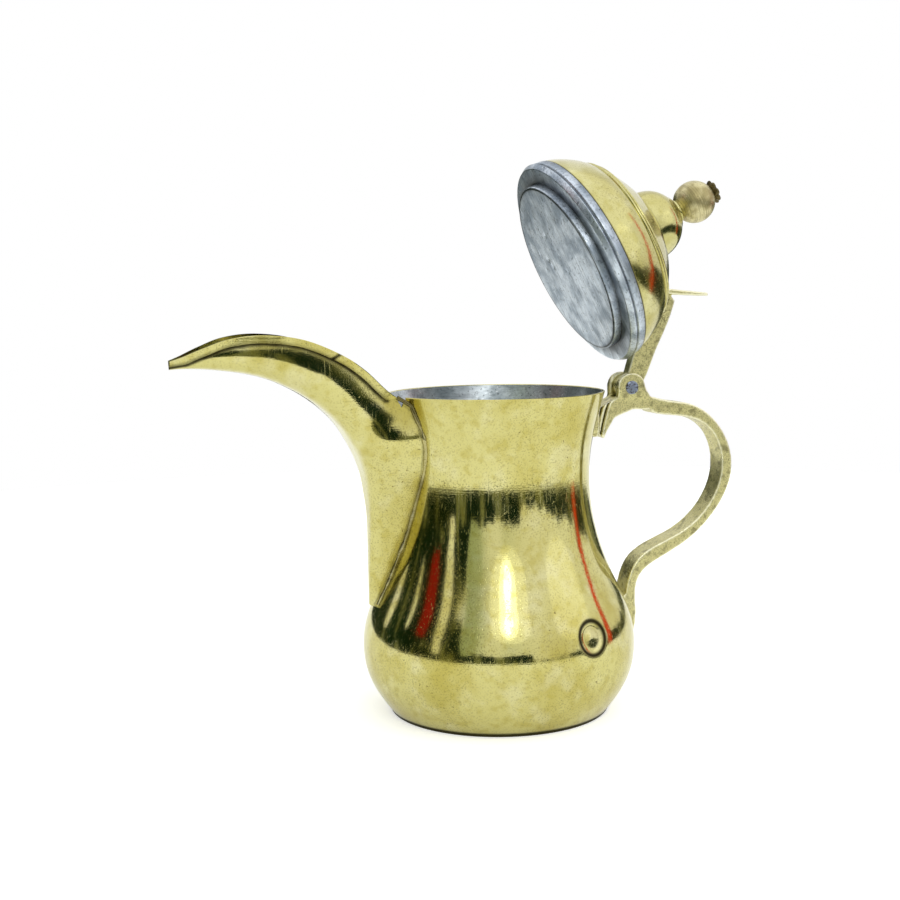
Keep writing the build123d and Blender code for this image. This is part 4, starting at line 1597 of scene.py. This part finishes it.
@dataclass(frozen=True)
class Stage:
    """The pale floor, the light and the camera."""

    camera_place: tuple[float, float, float] = (-192.4, -621.6, 194.4)
    turn: float = 17.2
    pitch: float = 6.429
    roll: float = -0.960
    yaw: float = -1.878
    focal_pixels: float = 1412.39
    frame_pixels: float = 900.0
    sensor: float = 36.0
    floor_radius: float = 0.9
    aim: float = 0.09
    camera_glow: float = 0.55
    mirror_glow: float = 0.30
    # How far the skyline's top is ragged, its soft edge, how far its sides waver and how much of its uprights
    # shows, then the heights between which the haze thins out and the cloth comes in, and how its folds show red.
    ragged: float = 0.34
    edge: Point = (0.16, 0.185)
    wobble: float = 0.016
    uprights: tuple[float, float, float, float] = (0.54, 0.63, 0.0, 0.55)
    haze_top: Point = (0.66, 0.92)
    cloth_foot: Point = (0.20, 0.28)
    cloth_folds: Point = (1.22, 1.36)

    # What stands around the pot, by share of a turn counted from behind it: how high it reaches, and its colour.
    SKYLINE = ((0.0, 0.12), (0.05, 0.30), (0.14, 0.40), (0.166, 0.34), (0.176, 0.06), (0.186, 0.10), (0.196, 0.44),
               (0.232, 0.52), (0.246, 0.48), (0.252, 0.16), (0.262, 0.62), (0.336, 0.60), (0.341, 0.05),
               (0.358, 0.04), (0.363, 0.60), (0.404, 0.56), (0.412, 0.11), (0.573, 0.12), (0.583, 0.0), (0.66, 0.0),
               (0.72, 0.05), (0.788, 0.03), (0.791, 0.62), (0.802, 0.62), (0.805, 0.06), (0.90, 0.05), (1.0, 0.12))
    WALLS = ((0.0, "#3A4030"), (0.20, "#182C18"), (0.276, "#162616"), (0.330, "#1C2A1A"), (0.37, "#1C2A1C"),
             (0.55, "#16281C"), (0.70, "#28342A"), (0.788, "#3A4030"), (0.791, "#F04A1C"), (0.802, "#F04A1C"),
             (0.806, "#3A4030"))
    # Where pale green haze stands over it, and where a red cloth hangs.
    HAZE = ((0.38, 0.0), (0.412, 0.9), (0.450, 0.8), (0.478, 0.28), (0.500, 0.2), (0.530, 0.5), (0.560, 0.3),
            (0.60, 0.0))
    CLOTH = ((0.270, 0.0), (0.288, 1.0), (0.308, 1.0), (0.326, 0.0))
    # Each lamp's name, place and size in metres, and power in watts.
    LAMPS = (("glow", (-0.18, -1.90, 1.35), (1.35, 1.35), 1.5), ("key", (-0.23, -1.82, 1.30), (0.58, 0.95), 1.50),
             ("spark", (-0.21, -1.66, 1.08), (0.24, 0.42), 0.70), ("fill", (1.55, -1.05, 0.95), (1.3, 1.1), 0.9),
             ("overhead", (0.55, -0.35, 1.9), (3.0, 3.0), 5.0))

    def build(self) -> None:
        """Build everything that isn't the pot."""
        bpy.context.scene.view_settings.view_transform = "Standard"
        self.build_camera()
        self.build_floor()
        self.build_world()
        self.build_lamps()

    def build_camera(self) -> None:
        """Set up the camera where the photograph was taken from."""
        yaw, pitch, roll = (math.radians(a) for a in (self.yaw, self.pitch, self.roll))
        forward = Vector((math.sin(yaw) * math.cos(pitch), math.cos(yaw) * math.cos(pitch), -math.sin(pitch)))
        right = Vector((math.cos(yaw), -math.sin(yaw), 0))
        up = right.cross(forward)
        level_right = math.cos(roll) * right + math.sin(roll) * up
        level_up = -math.sin(roll) * right + math.cos(roll) * up
        turn = Matrix((level_right, level_up, -forward)).transposed()
        turn = Matrix.Rotation(math.radians(-self.turn), 3, "Z") @ turn
        data = bpy.data.cameras.new("camera")
        data.sensor_width = self.sensor
        data.sensor_fit = "HORIZONTAL"
        data.lens = self.focal_pixels * self.sensor / self.frame_pixels
        data.clip_start = 0.01
        camera = bpy.data.objects.new("camera", data)
        camera.matrix_world = Matrix.Translation(Vector(self.camera_place) * MM) @ turn.to_4x4()
        bpy.context.scene.collection.objects.link(camera)
        bpy.context.scene.camera = camera

    def build_floor(self) -> None:
        """Lay a pale round floor under the pot."""
        bm = bmesh.new()
        bmesh.ops.create_circle(bm, cap_ends=True, segments=96, radius=self.floor_radius)
        floor = to_object(bm, "floor")
        material = bpy.data.materials.new("pale_floor")
        material.use_nodes = True
        tree = material.node_tree
        tree.nodes.clear()
        seen = add(tree, Kind.RAY, {}, "Is Camera Ray")
        glow = add(tree, Kind.MATH, {0: seen, 1: self.camera_glow}, operation="MULTIPLY")
        glow = add(tree, Kind.MATH, {0: self.mirrored(tree), 1: self.mirror_glow, 2: glow},
                   operation="MULTIPLY_ADD")
        glow = add(tree, "ShaderNodeEmission", {"Color": "#FFFFFF", "Strength": glow})
        cloth = add(tree, "ShaderNodeBsdfDiffuse", {"Color": "#EFEFEC"})
        both = add(tree, "ShaderNodeAddShader", {0: cloth, 1: glow})
        add(tree, "ShaderNodeOutputMaterial", {"Surface": both})
        floor.data.materials.append(material)

    @staticmethod
    def mirrored(tree: Tree) -> Socket:
        """Give 1 for what metal or glass shows, else 0."""
        glossy, through = (add(tree, Kind.RAY, {}, name) for name in ("Is Glossy Ray", "Is Transmission Ray"))
        return add(tree, Kind.MATH, {0: glossy, 1: through}, operation="MAXIMUM")

    def build_world(self) -> None:
        """Surround the pot with pale sky over a darker skyline, white to the camera."""
        world = bpy.data.worlds.new("studio")
        bpy.context.scene.world = world
        world.use_nodes = True
        tree = world.node_tree
        tree.nodes.clear()
        way = add(tree, Kind.COORDS, {}, "Generated")
        away = math.atan2(self.camera_place[1], self.camera_place[0])
        turned = add(tree, Kind.PLACE, {0: way, "Rotation": (0, 0, -away)})
        x, y, height = (add(tree, Kind.SPLIT, {0: turned}, i) for i in range(3))
        turn = add(tree, Kind.MATH, {0: y, 1: x}, operation="ARCTAN2")
        share = add(tree, Kind.MATH, {0: turn, 1: 1 / (2 * math.pi), 2: 0.5}, operation="MULTIPLY_ADD")
        # Pale uprights, as wide as a hand at arm's length.
        flat = add(tree, Kind.PLACE, {0: turned, "Scale": (1, 1, 0.3)})
        posts = add(tree, Kind.NOISE, {"Vector": flat, "Scale": 5.5, "Detail": 6.0, "Distortion": 0.9})
        ragged = add(tree, Kind.NOISE, {"Vector": turned, "Scale": 7.0, "Detail": 6.0, "Roughness": 0.65})
        wobble = add(tree, Kind.MATH, {0: ragged, 1: self.wobble, 2: -self.wobble / 2}, operation="MULTIPLY_ADD")
        share = add(tree, Kind.MATH, {0: share, 1: wobble}, operation="ADD")
        top = add(tree, Kind.RAMP, {0: share}, stops=list(self.SKYLINE))
        top = add(tree, Kind.MATH, {0: ragged, 1: self.ragged, 2: top}, operation="MULTIPLY_ADD")
        under = add(tree, Kind.MATH, {0: top, 1: height}, operation="SUBTRACT")
        under = add(tree, Kind.RANGE, {0: under, **Finish.step(*self.edge)})
        wall = add(tree, Kind.RAMP, {0: share}, stops=list(self.WALLS))
        light = add(tree, Kind.RANGE, {0: posts, **Finish.step(*self.uprights)})
        wall = add(tree, Kind.MIX, {0: light, 6: wall, 7: "#A8AA80"}, 2, data_type="RGBA")
        # A red cloth hangs in folds on the left, from a little above the floor up to the skyline's top.
        folds = add(tree, Kind.NOISE, {"Vector": turned, "Scale": 7.0, "Detail": 6.0, "Distortion": 1.4})
        cloth = add(tree, Kind.RAMP, {0: share}, stops=list(self.CLOTH))
        low = add(tree, Kind.RANGE, {0: height, **Finish.step(*self.cloth_foot)})
        cloth = add(tree, Kind.MATH, {0: cloth, 1: low}, operation="MULTIPLY")
        cloth = add(tree, Kind.MATH, {0: folds, 1: 1.0, 2: cloth}, operation="MULTIPLY_ADD")
        cloth = add(tree, Kind.RANGE, {0: cloth, **Finish.step(*self.cloth_folds, 0.0, 0.85)})
        wall = add(tree, Kind.MIX, {0: cloth, 6: wall, 7: "#A8201A"}, 2, data_type="RGBA")
        haze = add(tree, Kind.MATH, {0: wobble, 1: 2.0, 2: share}, operation="MULTIPLY_ADD")
        haze = add(tree, Kind.RAMP, {0: haze}, stops=list(self.HAZE))
        rise = add(tree, Kind.RANGE, {0: height, **Finish.step(*self.haze_top, 1.0, 0.0)})
        haze = add(tree, Kind.MATH, {0: haze, 1: rise}, operation="MULTIPLY")
        sky = add(tree, Kind.MIX, {0: haze, 6: "#F4F6F2", 7: "#8A9C72"}, 2, data_type="RGBA")
        colour = add(tree, Kind.MIX, {0: under, 6: sky, 7: wall}, 2, data_type="RGBA")
        # White to the camera, and to metal and glass too wherever neither the skyline nor the haze stands.
        solid = add(tree, Kind.MATH, {0: under, 1: haze}, operation="MAXIMUM")
        clear = add(tree, Kind.MATH, {0: 1.0, 1: solid}, operation="SUBTRACT")
        clear = add(tree, Kind.MATH, {0: clear, 1: self.mirrored(tree)}, operation="MULTIPLY")
        seen = add(tree, Kind.RAY, {}, "Is Camera Ray")
        seen = add(tree, Kind.MATH, {0: seen, 1: clear}, operation="MAXIMUM")
        colour = add(tree, Kind.MIX, {0: seen, 6: colour, 7: "#FFFFFF"}, 2, data_type="RGBA")
        background = add(tree, "ShaderNodeBackground", {"Color": colour, "Strength": 1.0})
        add(tree, "ShaderNodeOutputWorld", {"Surface": background})

    def build_lamps(self) -> None:
        """Hang three lamps one inside the other above the camera, one on the right and a wide one overhead."""
        for name, place, size, power in self.LAMPS:
            data = bpy.data.lights.new(name, "AREA")
            data.shape = "ELLIPSE"
            data.size, data.size_y = size
            data.energy = power
            lamp = bpy.data.objects.new(name, data)
            aim = (Vector((0, 0, self.aim)) - Vector(place)).to_track_quat("-Z", "Y")
            lamp.matrix_world = Matrix.Translation(place) @ aim.to_matrix().to_4x4()
            bpy.context.scene.collection.objects.link(lamp)


def main() -> None:
    """Build the stage, then the pot from its body to its knob."""
    logging.basicConfig(level=logging.INFO, format="%(name)s %(message)s")
    Stage().build()
    pot_brass = PolishedBrass("polished_sheet_brass").build()
    pot_tin = Tinned("tinned_inside", colour="#C6CED3", cloud="#99A3A8", worn="#484D50").build()
    pot_cast = CastBrass("sand_cast_brass").build()
    solder = PolishedBrass("soldered_seam", colour="#B9B07A", tarnish="#6E6640", roughness=0.22).build()
    steel = PeenedSteel("peened_steel").build()
    lid_brass = PolishedBrass("polished_lid_brass", LID_FRAME, colour="#CBC588", tarnish="#B8AF68",
                              roughness=0.12).build()
    lid_tin = Tinned("tinned_liner", LID_FRAME).build()
    lid_cast = CastBrass("sand_cast_lid_brass", LID_FRAME).build()
    knob = KnobBrass("turned_knob_brass", LID_FRAME).build()
    washer = KnobBrass("dark_washer_brass", LID_FRAME, colour="#6E6444", worn="#4A422C", roughness=0.38).build()
    shell = PotShell(pot_brass, pot_tin)
    spout = Spout(shell, pot_brass, solder)
    throat = spout.throat()
    shell.build(throat)
    drop(throat)
    spout.build()
    Casting("root_pad", "root_pad_casting", Body.POT, pot_cast, voxel=0.4, depth=0.12).build()
    HandleCasting("handle", "handle_casting", Body.POT, pot_cast, shell=shell).build()
    HingePin(steel).build()
    Liner(lid_tin).build()
    Dome(lid_brass).build()
    Casting("lid_strap", "strap_casting", Body.LID, lid_cast, voxel=0.4, depth=0.15).build()
    Knob(knob, lid_brass, washer, steel).build()


if __name__ == "__main__":
    main()
